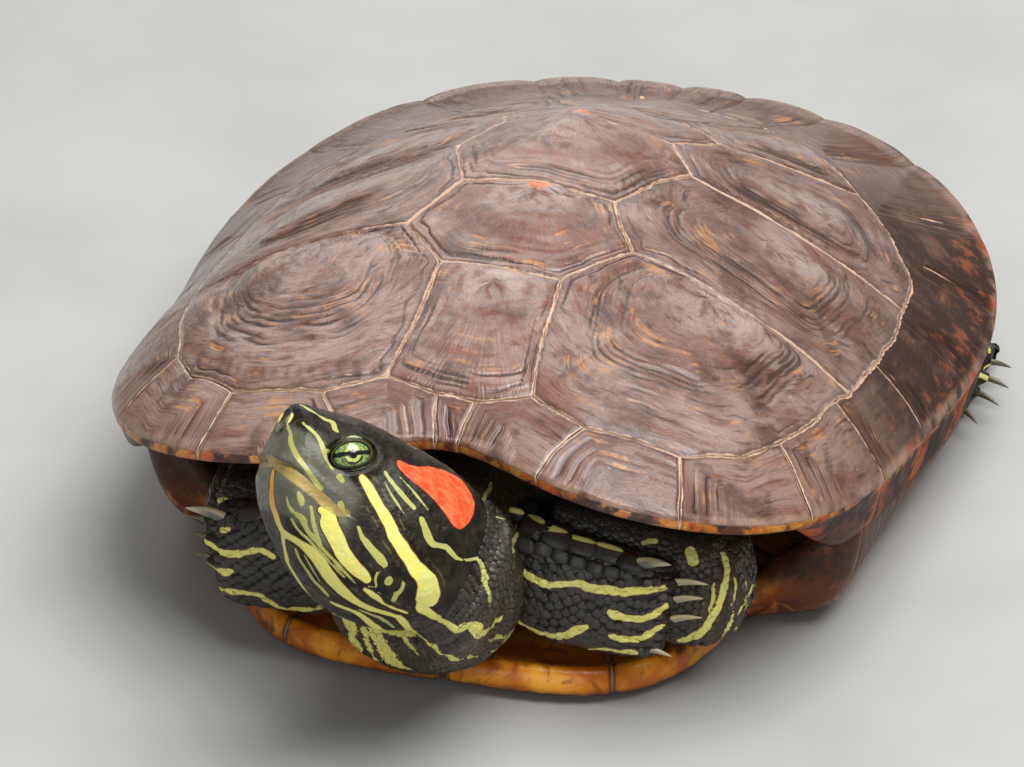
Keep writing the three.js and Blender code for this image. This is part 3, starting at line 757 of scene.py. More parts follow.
def marginal(start, end, side, seam, relief, seed, midline=False):
    """One scute of the rim, from its inner seam out over the rim and round underneath."""
    inner_line = np.array(INNER_RIM, float)
    if midline:
        inner = np.stack([np.linspace(-start[0][0], start[0][0], 40), np.full(40, start[0][1] + 0.0)], 1)
        angles = np.linspace(-rim_angle(start[1]), rim_angle(start[1]), 40)
    else:
        columns = max(24, int(np.linalg.norm(np.subtract(start[1], end[1])) / 0.5))
        places = to_segments(np.array([start[0], end[0]], float), inner_line)
        spans = len(inner_line) - 1
        run = run_along(inner_line)
        steps = np.interp(places[1] * spans, np.arange(spans + 1), run / run[-1])
        inner = along(inner_line, np.linspace(steps[0], steps[1], columns)) * (side, 1)
        angles = np.linspace(rim_angle(start[1]), rim_angle(end[1]), columns) * side
    columns = len(angles)
    u = np.linspace(0, 1, columns)
    rim = shell_point(angles, rim_radius(angles), 0)[:, :2]
    rows_up = 40
    v = np.linspace(0, 1, rows_up)[:, None, None]
    plan = inner + v * (rim - inner)
    width = np.linalg.norm(rim - inner, axis=1)
    span = np.linalg.norm(plan[:, -1] - plan[:, 0], axis=1)[:, None]
    front = u * span
    dorsal = v[..., 0] * width
    back = (1 - u) * span
    edge = np.minimum(np.minimum(front, back), dorsal)
    heart = plan[:, columns // 2][:, None]
    plain = smooth(72, 92, off_front(angles))
    gap = seam * (1 - 0.85 * plain)
    plan = plan + unit(heart - plan) * (gap * (1 - smooth(0, 2.0, np.minimum(front, back))))[..., None]
    inward = unit(rim - inner)
    plan = plan + inward * (seam * 1.1 * (1 - v))
    moved = wander(plan.reshape(-1, 2)).reshape(plan.shape)
    plan = mix(moved, plan, smooth(0.55, 0.95, v))
    x, y = plan[..., 0], plan[..., 1]
    base = np.stack([x, y, dome(x, y)], -1)
    normal = dome_normal(x, y)
    corner = np.minimum(front, dorsal * 1.15) + 0.4 * rough(base, 9, seed, 2)
    beside_front = mix(0.35, 1.0, smooth(-2, 2, dorsal * 1.15 - front))
    grooves = 0 * corner
    lines = 0 * corner
    for place, depth in RIM_RINGS:
        uneven = np.clip(0.75 + 0.9 * noise(base, 8, seed + int(place * 10)), 0.1, 1.6)
        away = corner - place
        grooves = grooves + depth * uneven * bump(away, 0, np.where(away > 0, 0.9, 0.4))
        lines = np.maximum(lines, np.clip(depth * 2.2, 0.15, 1) * uneven * bump(away, 0, 0.4))
    fading = smooth(0, 1.5, edge) * (1 - smooth(0.84, 0.98, v[..., 0])) * beside_front
    grooves = grooves * fading
    lines = lines * fading
    lateral = np.minimum(front, back)
    drop = EDGE_DROP * (1 - smooth(0, EDGE_ROUND, edge)) * (1 - 0.5 * plain * (lateral < dorsal))
    pale = 1 - 0.9 * plain * smooth(-0.5, 0.5, dorsal - lateral)
    crest = 0.35 * smooth(0.86, 0.98, v[..., 0])
    folds = 0.07 * rough(base, 4, seed + 3) + 0.16 * rough(base, 15, seed + 4, 2)
    high = relief * (folds - grooves) - drop * (1 - 0.4 * smooth(0.8, 1, v[..., 0]))
    # towards the tail each marginal's free edge swells out and turns up between its seams
    rear = smooth(125, 150, off_front(angles))
    swell = REAR_SCALLOP * rear * ((1 - np.abs(2 * u - 1) ** 3) - 0.45) * smooth(0.3, 1.0, v[..., 0])
    out = np.concatenate([inward, np.full((columns, 1), 0.9)], 1)
    upper = base + normal * (high + crest - 0.2)[..., None] + out * swell[..., None]
    shift = upper[-1] - base[-1]
    section = under_rim(angles)
    below = curve_through(section, 8)
    steps = np.linspace(0, 1, len(below))[:, None, None]
    notch = (EDGE_DROP * 0.8 * (1 - smooth(0, EDGE_ROUND, edge[-1])))[None, :, None]
    middle = shell_point(angles, 0 * angles, rim_height(angles) - 8)
    below = below + shift * (1 - smooth(0, 0.35, steps))
    below = below + unit(middle - below) * notch * smooth(0, 0.3, steps)
    whole = np.concatenate([upper, below[1:]])
    # rounds the turn over the free edge
    for _ in range(3):
        a, b = rows_up - 4, rows_up + 9
        whole[a:b] = 0.25 * whole[a - 1:b - 1] + 0.5 * whole[a:b] + 0.25 * whole[a + 1:b + 1]
    extra = len(below) - 1
    run_down = np.linspace(0, 1, extra + 1)[1:, None] * np.ones(columns)
    under = np.concatenate([np.zeros((rows_up, columns)), run_down])
    under_rows = np.ones((extra, 1))
    crest_line = np.concatenate([v[..., 0], under_rows]) * np.ones(columns)
    side_edge = np.minimum(np.minimum(u, 1 - u) * span[-1], 30) * under_rows
    around = off_front(angles)
    dusk = FLANK_DARK_AND_SHADE[side] * smooth(46, 78, around) * (1 - smooth(128, 150, around))
    fan = np.stack([
        np.broadcast_to(u * float(span.mean()), whole.shape[:2]),
        np.full(whole.shape[:2], seed * 3.7),
        np.concatenate([corner, corner[-1] + run_down * 12]),
    ], -1)
    surface = Surface()
    surface.add(
        whole, grid_faces(*whole.shape[:2]),
        crest=crest_line.ravel(), line=np.concatenate([lines, np.zeros((extra, columns))]).ravel(),
        edge=np.concatenate([edge, side_edge]).ravel(), under=under.ravel(), fan=fan.reshape(-1, 3),
        knob=0.0, old=0.0, fore=np.broadcast_to(u, whole.shape[:2]).ravel(),
        pale=np.concatenate([pale, (1 - 0.9 * plain) * under_rows]).ravel(),
        dusk=np.broadcast_to(dusk, whole.shape[:2]).ravel(),
    )
    # the cut faces down to the bed on both side seams and the inner seam
    for line_points in (whole[:, 0], whole[:, -1], whole[0]):
        inwards = unit(np.array([0, CENTRE_Y, 25]) - line_points)
        strip = np.stack([line_points, line_points + inwards * 1.4])
        surface.add(
            strip, grid_faces(2, len(line_points)), crest=0.5, line=0.0, edge=0.0, under=0.0,
            fan=np.zeros((2 * len(line_points), 3)), knob=0.0, old=0.0, fore=0.5, pale=0.2, dusk=0.5,
        )
    return surface


# ------------------------------------------------------------------------------------------
# Plastron

FRONT_LOBE_WIDE = 59.0
FRONT_LOBE_LONG = 103.0
REAR_LOBE_WIDE = 51.0
REAR_LOBE_LONG = 101.0
PLASTRON_THICK = 6.5
LIP_HEIGHT = 8.6
# Where each cross seam leaves the midline, and the angle at which it meets the edge
PLASTRON_SEAMS = [
    (-89.5, 0.5), (-82, 20.5), (-60, 56), (-36, 71), (14, 107.5), (54, 143.5), (83.5, 179.5),
]
PLASTRON_NAMES = ("gulars", "humerals", "pectorals", "abdominals", "femorals", "anals")


def lobe_radius(angle):
    c = np.cos(angle)
    s = np.sin(angle)
    wide = np.where(c > 0, FRONT_LOBE_WIDE, REAR_LOBE_WIDE)
    length = np.where(c > 0, FRONT_LOBE_LONG, REAR_LOBE_LONG)
    n = np.where(c > 0, 3.8, 2.6)
    return (np.abs(s / wide) ** n + np.abs(c / length) ** n) ** (-1.0 / n)


def plastron_section(angle):
    """The plastron's edge in section, from its flat underside over the lip or bridge to the inner face."""
    w = buttressed(angle)
    lobe = lobe_radius(angle)
    foot = mix(lobe - 9, rim_radius(angle, 0) * 0.75, w)
    top = rim_height(angle) - UNDER_RIM_DROP - 0.3
    return np.stack([
        shell_point(angle, foot - 6, 0),
        shell_point(angle, foot, 0),
        shell_point(angle, mix(lobe - 2.4, rim_radius(angle, 0) * 0.9, w), mix(1.6, 6.5, w)),
        shell_point(angle, mix(lobe, carapace_radius(angle, UNDER_RIM_IN), w), mix(4.6, top, w)),
        shell_point(angle, mix(lobe - 2.2, carapace_radius(angle, UNDER_RIM_IN - BRIDGE_WALL), w),
                    mix(LIP_HEIGHT, top, w)),
        shell_point(angle, foot + 1, mix(LIP_HEIGHT - 0.8, PLASTRON_THICK + 1.5, w)),
        shell_point(angle, foot * 0.8, PLASTRON_THICK),
    ])


def plastral(index, side, seam, seed):
    """One scute of the plastron, from the midline out along the underside and up over its edge."""
    (front_y, front_angle), (back_y, back_angle) = PLASTRON_SEAMS[index:index + 2]
    columns = max(30, int(abs(back_y - front_y) / 0.8))
    s = np.linspace(0, 1, columns)
    angles = np.radians(mix(front_angle, back_angle, s))
    mid = np.stack([0 * s, mix(front_y, back_y, s), 0 * s], -1)
    section = plastron_section(angles)
    profile = curve_through(section, 7)
    flat_rows = 30
    t = np.linspace(0, 1, flat_rows, endpoint=False)[:, None, None]
    flat = mid + t * (profile[0] - mid)
    points = np.concatenate([flat, profile])
    rows = len(points)
    normal = grid_normals(points)
    if normal[rows // 4, columns // 2, 2] > 0:
        normal = -normal
    span = np.linalg.norm(points[:, -1] - points[:, 0], axis=1)[:, None]
    front = s * span
    back = (1 - s) * span
    middle = np.broadcast_to(run_along(points[:, columns // 2])[:, None], (rows, columns))
    edge = np.minimum(np.minimum(front, back), middle)
    near_seam = seam * (1 - smooth(0, 2.5, np.minimum(front, back)))
    shift = unit(points[:, columns // 2][:, None] - points) * near_seam[..., None]
    away = np.zeros_like(points)
    away[..., 0] = seam * (1 - smooth(0, 6, middle))
    wobble = 0.35 * noise(points, 9, 41) * (1 - smooth(0, 3, np.minimum(front, back)))
    points = points + shift + away
    points[..., 1] = points[..., 1] + wobble
    drop = 0.3 * (1 - smooth(0, 0.9, edge))
    corner = np.minimum(back, middle)
    rings = 0.07 * np.sin(corner * 1.35 + noise(points, 14, seed))
    rings = rings * smooth(1, 4, edge) * (1 - smooth(16, 26, corner)) - 0.05
    off_floor = smooth(0.0, 3.0, points[..., 2])
    high = rings - drop + 0.12 * rough(points, 13, seed + 4) * off_floor
    high = np.where(points[..., 2] < 0.2, np.minimum(high, 0.0), high)
    points = points + normal * high[..., None]
    points = points * (side, 1, 1)
    flank = np.concatenate([np.zeros(flat_rows), np.linspace(0, 1, rows - flat_rows)])
    flank = flank[:, None] * np.ones(columns)
    surface = Surface()
    bridge = smooth(LIP_HEIGHT + 1.5, LIP_HEIGHT + 6, points[..., 2]).ravel()
    points[..., 2] = np.maximum(points[..., 2], 0.0)
    surface.add(points, grid_faces(rows, columns), edge=edge.ravel(), flank=flank.ravel(), bridge=bridge)
    for line_points in (points[:, 0], points[:, -1], points[0]):
        heart = np.array([0, line_points[:, 1].mean(), 9.0])
        strip = np.stack([line_points, line_points + unit(heart - line_points) * 1.2])
        surface.add(strip, grid_faces(2, len(line_points)), edge=0.0, flank=0.5, bridge=0.0)
    return surface


# ------------------------------------------------------------------------------------------
# Head and neck. Each place on them is s, millimetres back from the snout along the axis, and phi, degrees
# round from the crown to the turtle's left. Head measures run back, left and up from the tip of the snout.

SNOUT = np.array([-28.8, -136.8, 74.3])
FACING = unit([-0.75, -0.308, 0.586])
HEAD_LEFT = np.array([0.604, -0.679, 0.417])
HEAD_LEFT = unit(HEAD_LEFT - FACING * (HEAD_LEFT @ FACING))
HEAD_UP = np.cross(FACING, HEAD_LEFT)
# Back from the snout, half width, top, bottom, height of the widest line
HEAD_STATIONS = [
    (0.3, 2.6, 9.6, 4.2, 7), (0.9, 4.6, 10.8, -0.5, 5), (2.4, 8.2, 11.8, -5.4, 1),
    (5, 10.2, 12.4, -9.8, -1.5), (9, 11.6, 13.4, -13.8, -3), (13.5, 12.6, 14.6, -17.2, -3.5),
    (19, 13.8, 15.2, -20.2, -4), (25, 15.6, 15.4, -22.2, -4), (32, 17, 15.4, -22.8, -4),
    (39, 17.2, 14.8, -21.8, -4), (44, 16.6, 13.6, -19.6, -4), (48, 15.6, 12, -18, -4),
    (52, 15.9, 11.4, -18.6, -4),
]
# Along the axis, then centre x, y, z, half width and half height
NECK_STATIONS = [
    (71, -3.5, -115, 29.5, 19, 18.5), (76, -3.5, -110, 28.8, 21, 20.6), (86, -1.5, -100, 31, 19.5, 20.4),
    (98, 0, -88, 33, 18, 19), (118, 0, -68, 35, 16, 16),
]


def in_head(back, left, up):
    """A point of the head as a point of the whole turtle."""
    back, left, up = (np.asarray(v, float)[..., None] for v in (back, left, up))
    return SNOUT - FACING * back + HEAD_LEFT * left + HEAD_UP * up


def head_measures(points):
    away = points - SNOUT
    return -(away @ FACING), away @ HEAD_LEFT, away @ HEAD_UP


def on_head(s, phi):
    """The plain form of the head and neck, before its features: a smooth run through its rings."""
    s = np.asarray(s, float)
    phi = np.radians(np.asarray(phi, float))
    sin, cos = np.sin(phi), np.cos(phi)
    places = []
    rings = []
    for back, wide, top, bottom, middle in HEAD_STATIONS:
        boxy = np.where(cos > 0, 0.9, 0.8)
        left = wide * np.sign(sin) * np.abs(sin) ** boxy
        up = middle + np.where(cos > 0, top - middle, middle - bottom) * np.sign(cos) * np.abs(cos) ** boxy
        places.append(back)
        rings.append(in_head(back + 0 * left, left, up))
    for place, x, y, z, wide, tall in NECK_STATIONS:
        places.append(place)
        rings.append(np.stack([x + wide * sin, y + 0 * sin, z + tall * cos], -1))
    places = np.array(places, float)
    rings = np.stack(rings)
    lead = np.diff(places).reshape(-1, *[1] * (rings.ndim - 1))
    slopes = np.diff(rings, axis=0) / lead
    tangents = np.concatenate([
        slopes[:1], (slopes[1:] * lead[:-1] + slopes[:-1] * lead[1:]) / (lead[1:] + lead[:-1]), slopes[-1:],
    ])
    i = np.clip(np.searchsorted(places, s, side="right") - 1, 0, len(places) - 2)
    h = places[i + 1] - places[i]
    t = (s - places[i]) / h
    pick = np.indices(phi.shape)
    a, b = rings[(i, *pick)], rings[(i + 1, *pick)]
    ta, tb = tangents[(i, *pick)] * h[..., None], tangents[(i + 1, *pick)] * h[..., None]
    t = t[..., None]
    return ((2 * t**3 - 3 * t**2 + 1) * a + (t**3 - 2 * t**2 + t) * ta
            + (3 * t**2 - 2 * t**3) * b + (t**3 - t**2) * tb)


# Stripes of the left side, mirrored to the right. Each is a smooth line through knots of s, phi and half
# width in millimetres.
YELLOW_STRIPES = {
    "cheek": [
        (16.5, 72, 0.8), (18.2, 75, 1.0), (20, 79, 1.1), (22, 83, 1.1), (24.3, 87, 1.2),
        (26.7, 91, 1.35), (29.2, 94, 1.4), (31.6, 97, 1.4), (33.8, 100, 1.6), (36, 102, 1.8),
        (38.3, 106, 2.3), (39.8, 113, 2.7), (40.5, 119, 2.5), (40.8, 125, 1.4), (42.9, 129, 1.0),
        (46, 134, 0.8), (48.8, 136, 0.8), (50.8, 134, 1.0), (51.5, 128, 1.2), (52.5, 123, 1.2),
        (54.7, 122, 1.4), (57.9, 120, 1.0), (59.2, 113, 0.9), (61.5, 105, 0.8), (66, 98, 0.7),
        (70.8, 95, 0.5),
    ],
    "jaw": [
        (11.8, 103, 0.7), (13.2, 102, 1.5), (14.7, 107, 1.8), (17.5, 112, 1.7), (20.3, 117, 1.6),
        (23.3, 120, 1.5), (25.7, 121, 1.2), (26.8, 122, 0.9),
    ],
    "below ocellus": [
        (27.9, 130, 0.4), (29.3, 130, 0.6), (31.1, 131, 0.6), (32.8, 133, 0.35), (35.5, 133, 0.3),
        (38.5, 133, 0.2),
    ],
}
# The stripe of the chin, which forks towards the throat; these keep to their own side
CHIN_STRIPES = {
    "chin": [
        (1.8, 163, 0.5), (2.9, 163, 0.9), (3.9, 166, 1.0), (5.1, 168, 1.1), (6.5, 166, 1.1),
        (8.2, 167, 1.1), (9.8, 164, 1.1),
    ],
    "left fork": [
        (9.8, 164, 1.1), (11.2, 153, 0.9), (13, 145, 1.0), (15.2, 140, 1.4), (17.3, 139, 1.5),
        (19.6, 141, 1.6), (21.8, 143, 1.6), (24, 144, 1.4), (26.7, 145, 1.1), (29.1, 145, 0.9),
        (31.5, 144, 0.8), (34, 142, 0.6), (36.7, 140, 0.6), (38.7, 142, 0.8), (41.8, 153, 0.8),
        (45, 170, 0.8), (49, 186, 0.7), (51.3, 185, 0.8), (53.3, 181, 0.9), (55.4, 173, 0.9),
        (58.2, 160, 0.8), (61.2, 148, 0.7), (64.1, 136, 0.6), (70, 129, 0.5),
    ],
    "right fork": [
        (9.8, 166, 0.9), (11.6, 173, 0.6), (13.7, 178, 0.8), (15.8, 182, 0.8), (17.9, 183, 0.9),
        (20.1, 184, 0.9), (22.5, 188, 0.8), (24.9, 193, 0.8), (28, 200, 0.8), (34, 212, 0.8),
        (41, 215, 1.0), (48, 214, 0.9), (56, 222, 0.9), (62, 236, 0.9),
    ],
    "right jaw": [
        (6.1, 213, 0.5), (8.4, 209, 0.8), (10.8, 207, 0.7), (14, 206, 0.6), (19, 209, 0.8),
        (26, 220, 0.8), (33, 226, 0.7),
    ],
    "under throat": [
        (26.1, 166, 0.56), (28.3, 161, 0.7), (30.8, 158, 0.84), (33.5, 160, 0.98), (36.7, 167, 1.26),
        (41, 178, 1.26),
    ],
    "throat 1": [
        (65.5, -98, 0.98), (66.5, -106, 1.12), (66.8, -113, 1.26), (67, -121, 1.54), (68.6, -131, 1.54),
        (70.6, -141, 1.26),
    ],
    "throat 2": [
        (61.5, -112, 0.98), (62.8, -121, 1.26), (63.2, -131, 1.54), (63.6, -142, 1.96),
        (64.3, -152, 2.24), (65.7, -163, 2.24), (66.9, -172, 1.96),
    ],
    "throat 3": [
        (64.2, -113, 0.49), (64.7, -125, 0.63), (65.5, -135, 0.56), (66.6, -145, 0.7), (70, -155, 0.7),
    ],
    "throat 4": [(58.8, -136, 0.42), (58.4, -150, 0.49), (58.1, -163, 0.63)],
}
LIP_BAND = {
    "lip": [
        (1.3, 190, 0.8), (1.2, 164, 1.0), (1.9, 134, 1.1), (3.2, 110, 1.2), (5.3, 100, 1.2),
        (7.7, 96, 1.1), (10.2, 95, 1.1), (12.8, 96, 1.0), (15.2, 95, 0.9), (17, 93, 0.6),
    ],
}
GREEN_STRIPES = {
    "behind jaw": [
        (20, 96, 0.2), (20.8, 98, 0.3), (21.7, 100, 0.45), (23.5, 102, 0.7), (25.3, 104, 0.8),
        (27.2, 106, 0.9), (28, 107, 0.7),
    ],
    "ear": [
        (30.7, 78, 0.6), (32, 81, 0.8), (33.7, 85, 0.9), (35.2, 87, 0.7), (36.7, 86, 0.55),
        (38.3, 85, 0.65), (39.9, 86, 0.55), (41.6, 87, 0.4), (43.1, 86, 0.3), (44.5, 84, 0.3),
        (46.3, 80, 0.35), (47.4, 81, 0.5), (48.9, 85, 0.65), (49.8, 89, 0.7), (50.7, 91, 0.4),
        (51.7, 93, 0.55), (53.2, 97, 0.4),
    ],
    "nostril": [
        (0.4, 98, 0.3), (0.9, 91, 0.45), (1.3, 93, 0.6), (2.2, 90, 0.6), (3.6, 88, 0.5), (5.5, 88, 0.5),
        (7.5, 89, 0.45), (9.2, 90, 0.5), (10.3, 90, 0.3),
    ],
    "beak side": [
        (1.9, 58, 0.2), (3.2, 57, 0.3), (4.6, 58, 0.35), (5.7, 61, 0.4), (6.8, 66, 0.45),
        (7.7, 70, 0.45), (9, 74, 0.4), (10.1, 76, 0.3),
    ],
    "beak top": [
        (1.4, 13, 0.2), (2.5, 25, 0.3), (3.8, 29, 0.3), (5.9, 33, 0.35), (7.6, 34, 0.5), (8.2, 41, 0.5),
        (8.8, 43, 0.3),
    ],
    "below eye": [(12, 79, 0.65), (13, 80, 0.45)],
    "mouth corner": [(14.7, 91, 0.65), (15.6, 92, 0.5)],
    "eye front": [(7.8, 66, 0.4), (9, 62, 0.3)],
    "jaw 1": [(5.2, 132, 0.2), (6.3, 134, 0.3), (7.5, 132, 0.45)],
    "jaw 2": [(6.3, 110, 0.4), (7.3, 112, 0.65), (8, 115, 0.45)],
    "jaw 3": [
        (8.4, 129, 0.45), (9.8, 125, 0.65), (11.5, 128, 0.6), (13.9, 127, 0.5), (16.7, 127, 0.35),
        (19.6, 127, 0.35), (22.3, 128, 0.3), (25.5, 130, 0.2),
    ],
    "jaw 4": [
        (8.4, 140, 0.3), (10.3, 139, 0.3), (13, 134, 0.3), (15.5, 132, 0.3), (18.8, 131, 0.3),
        (23, 132, 0.2),
    ],
    "jaw 5": [(9.7, 108, 0.3), (10.7, 112, 0.35), (12, 118, 0.45), (13.6, 122, 0.4), (15.5, 125, 0.25)],
    "postorbital 1": [
        (20.6, 61, 0.4), (22.3, 65, 0.45), (24.5, 69, 0.45), (26.7, 72, 0.45), (28.5, 74, 0.4),
    ],
    "postorbital 2": [(23.7, 59, 0.15), (26.3, 63, 0.2), (29, 67, 0.2), (31.7, 71, 0.2)],
    "postorbital 3": [(21, 67, 0.2), (23.2, 73, 0.2), (25.7, 78, 0.2), (27.8, 81, 0.2)],
    "ocellus arc": [(33.5, 112, 0.3), (34, 117, 0.4), (33.7, 121, 0.5), (34, 126, 0.6)],
    "ocellus left": [(27.7, 114, 0.2), (28.2, 119, 0.3), (29.2, 123, 0.2), (28, 126, 0.2)],
    "in the fork 1": [
        (13, 157, 0.3), (15, 160, 0.45), (17.1, 160, 0.5), (19.5, 161, 0.5), (21.5, 161, 0.55),
        (23.8, 161, 0.45),
    ],
    "in the fork 2": [(14.8, 150, 0.2), (17.7, 152, 0.25), (20.5, 155, 0.25)],
    "throat fold": [(30.5, 152, 0.3), (33.8, 150, 0.4), (36.2, 150, 0.45), (39.7, 158, 0.3)],
    "neck fold 1": [(68.7, 113, 0.5), (72, 112, 0.6), (76.3, 112, 0.3)],
    "neck fold 2": [(73.3, 124, 0.7), (77.2, 122, 0.8), (79, 116, 0.7)],
    "crown": [(20, 12, 0.12), (28, 16, 0.15), (38, 14, 0.12)],
    "neck top": [(50, 20, 0.3), (62, 25, 0.5), (76, 30, 0.5), (90, 30, 0.4)],
    "neck side": [(56, 60, 0.4), (66, 62, 0.6), (80, 60, 0.6), (95, 60, 0.5)],
}
EAR_PATCH = [
    (22.4, 48), (23.2, 53), (25.7, 57), (28.2, 59), (30.8, 61), (33.5, 64), (36, 68), (38.1, 71), (39.9, 70),
    (41, 64), (41.7, 55), (41.9, 46), (41.4, 37), (40.2, 30), (37.5, 26), (33.9, 29), (29.8, 37), (27, 43),
    (24.7, 46), (23.3, 45.5),
]
NECK_SCALES_FROM = 47.0
# The pale spot behind the corner of the mouth, with a thin ring round it
OCELLUS_AT = (30.6, 115.0)
OCELLUS_SPOT = 0.85
OCELLUS_RING = 2.6
NOSTRIL_AT = (0.75, 1.5, 7.3)
# The mouth, from the notch in the beak to its corner: back, up
MOUTH = [(2.5, -1.9), (8, -2.6), (13, -4), (18.8, -5.2)]
MOUTH_CORNER = 18.8
EYE_RADIUS = 5.2
EYE_AT = (14.1, 7.1, 5.9)


def feature_at(place, side):
    """A feature of one side of the head: back, out from the middle and up from the snout."""
    back, out, up = place
    return in_head(back, side * out, up)


def eye_centre(side):
    return feature_at(EYE_AT, side)


def eye_axes(side):
    """Where the eye looks, the level line across it and the line up it."""
    gaze = unit(FACING * 0.3 + HEAD_LEFT * side * 0.93 + HEAD_UP * 0.06)
    level = unit(np.cross([0, 0, 1.0], gaze))
    return gaze, level, np.cross(gaze, level)


EYE_OPEN_LONG = 3.9
EYE_OPEN_TALL = 2.55
EYE_TILT = 6.0


def eye_measures(points, side):
    """Across, up and out from the eye's centre, with across laid along the lids."""
    gaze, level, up = eye_axes(side)
    away = points - eye_centre(side)
    tilt = math.radians(EYE_TILT) * side
    across, height = away @ level, away @ up
    along_lids = across * math.cos(tilt) + height * math.sin(tilt)
    over_lids = height * math.cos(tilt) - across * math.sin(tilt)
    return along_lids, over_lids, away @ gaze


def eye_reach(points, side):
    """0 at the eye's centre, 1 at the edge of the lids."""
    across, height, out = eye_measures(points, side)
    return np.where(out > -2, np.hypot(across / EYE_OPEN_LONG, height / EYE_OPEN_TALL), 9.0)


def mouth_line(back):
    knots = np.array(MOUTH)
    return np.interp(back, knots[:, 0], knots[:, 1])


def head_features(points, normals, s, phi):
    """Moves the plain form of the head and neck out into its features."""
    back, _, up = head_measures(points)
    on_skull = 1 - smooth(46, 54, s)
    lip_gap = up - mouth_line(back)
    before_corner = 1 - smooth(MOUTH_CORNER - 1.5, MOUTH_CORNER + 0.6, back)
    # the groove of the mouth, the edge of the beak over it and the hollow below
    high = -0.75 * bump(lip_gap, 0, 0.28) * before_corner
    high = high + 0.35 * bump(lip_gap, 0.9, 0.9) * before_corner * (1 - 0.5 * smooth(9, 16, back))
    high = high - 0.45 * bump(lip_gap, -1.3, 1.3) * before_corner
    around = np.abs(phi)
    # the muscle of the jaw, the hollow over it, then the brow and the hollow in front of it
    high = high + 0.9 * bump(s, 30, 8) * bump(around, 108, 26)
    high = high - 0.35 * bump(s, 34.5, 4.5) * bump(around, 80, 16)
    high = high + 0.5 * bump(s, 13, 6) * bump(around, 33, 12) * on_skull
    high = high - 0.35 * bump(s, 8, 5) * bump(around, 40, 10)
    high = high + 0.12 * rough(points, 3.2, 11, 3) * (0.3 + smooth(15, 30, s))
    # the faint plates of the crown
    crown = on_skull * (1 - smooth(50, 90, around)) * smooth(14, 18, s)
    high = high - 0.1 * crown * (1 - smooth(0.0, 0.12, np.abs(noise(points, 4.5, 17))))
    # the loose folded skin of the neck
    loose = smooth(44, 54, s)
    fold = np.sin(s * 1.35 + 2.2 * noise(points, 11, 23) + np.radians(phi) * 0.6)
    high = high + loose * (0.42 * fold * smooth(0.3, 1.0, 0.7 + 0.5 * noise(points, 9, 29)) - 0.1)
    high = high + loose * 0.16 * rough(points, 1.9, 31, 3)
    for _, side in SIDES:
        from_nostril = np.linalg.norm(points - feature_at(NOSTRIL_AT, side), axis=1)
        high = high - 1.1 * bump(from_nostril, 0, 0.55) + 0.2 * bump(from_nostril, 1.0, 0.4)
    moved = points + normals * high[:, None]
    # the sockets of the eyes
    for _, side in SIDES:
        reach = eye_reach(moved, side)
        gaze = eye_axes(side)[0]
        depth = 3.4 * (1 - smooth(1.1, 1.45, reach)) - 0.3 * bump(reach, 1.75, 0.3)
        moved = moved - gaze * depth[:, None]
    return moved


def stripe_depth(points, normals, stripes, side):
    """How far each point is inside the nearest of these stripes, in millimetres; negative outside."""
    best = np.full(len(points), -9.0)
    for knots in stripes.values():
        line = curve_through(knots, 4)
        path = on_head(line[:, 0], line[:, 1] * side)
        distance, where = to_segments(points, path, across=normals)
        width = read_at(where, np.linspace(0, 1, len(line)), line)[:, 2]
        best = np.maximum(best, width - distance)
    return best


def head_markings(points, normals, s, phi):
    """Stripe, thin green line, ear patch and horn values over the head and neck."""
    ragged = 0.13 * rough(points, 1.6, 51, 2)
    ragged = ragged + 0.32 * smooth(40, 52, s) * noise(np.round(points / 1.3) * 1.3, 2.0, 53)
    yellow, green, lip = np.full((3, len(points)), -9.0)
    for _, side in SIDES:
        near = (phi * side > -25) | (np.abs(phi) > 150)
        for depth, stripes in ((yellow, YELLOW_STRIPES), (green, GREEN_STRIPES), (lip, LIP_BAND)):
            inside_by = stripe_depth(points[near], normals[near], stripes, side)
            depth[near] = np.maximum(depth[near], inside_by)
        from_nostril = np.linalg.norm(points - feature_at(NOSTRIL_AT, side), axis=1)
        np.maximum(yellow, 0.5 - np.abs(from_nostril - 1.25), out=yellow)
        s_spot, phi_spot = OCELLUS_AT
        away = points - on_head([s_spot], [phi_spot * side])[0]
        from_spot = np.linalg.norm(away @ np.stack([HEAD_LEFT, FACING, HEAD_UP * 0.75], 1), axis=1)
        ring = 0.02 - np.abs(from_spot - OCELLUS_RING)
        np.maximum(green, np.maximum(OCELLUS_SPOT - from_spot, ring), out=green)
    yellow = np.maximum(yellow, stripe_depth(points, normals, CHIN_STRIPES, 1))
    outline = curve_through(EAR_PATCH, 5, closed=True)
    scale = np.array([1.0, math.radians(16.5)])
    chart = np.stack([s, np.abs(phi)], 1) * scale
    edge = to_segments(chart, np.concatenate([outline, outline[:1]]) * scale)[0]
    patch = np.where(inside(chart, outline * scale), edge, -edge)
    back, _, up = head_measures(points)
    lip_gap = up - mouth_line(back)
    on_beak = (1 - smooth(MOUTH_CORNER - 3, MOUTH_CORNER + 1.5, back)) * (1 - smooth(55, 60, s))
    lip = smooth(-0.45, 0.2, lip + ragged)
    horn = on_beak * smooth(-9.5, -7.5, lip_gap) * (1 - smooth(7.5, 9, lip_gap + 0.2 * back))
    warm = bump(s, 3, 4) * bump(np.abs(phi), 162, 16)
    soft = smooth(46, 60, s)
    return {
        "yellow": yellow + ragged, "green": green + ragged, "patch": patch + ragged, "lip": lip,
        "horn": horn, "warm": warm, "soft": soft, "hair": 1 - smooth(38, 46, s),
    }


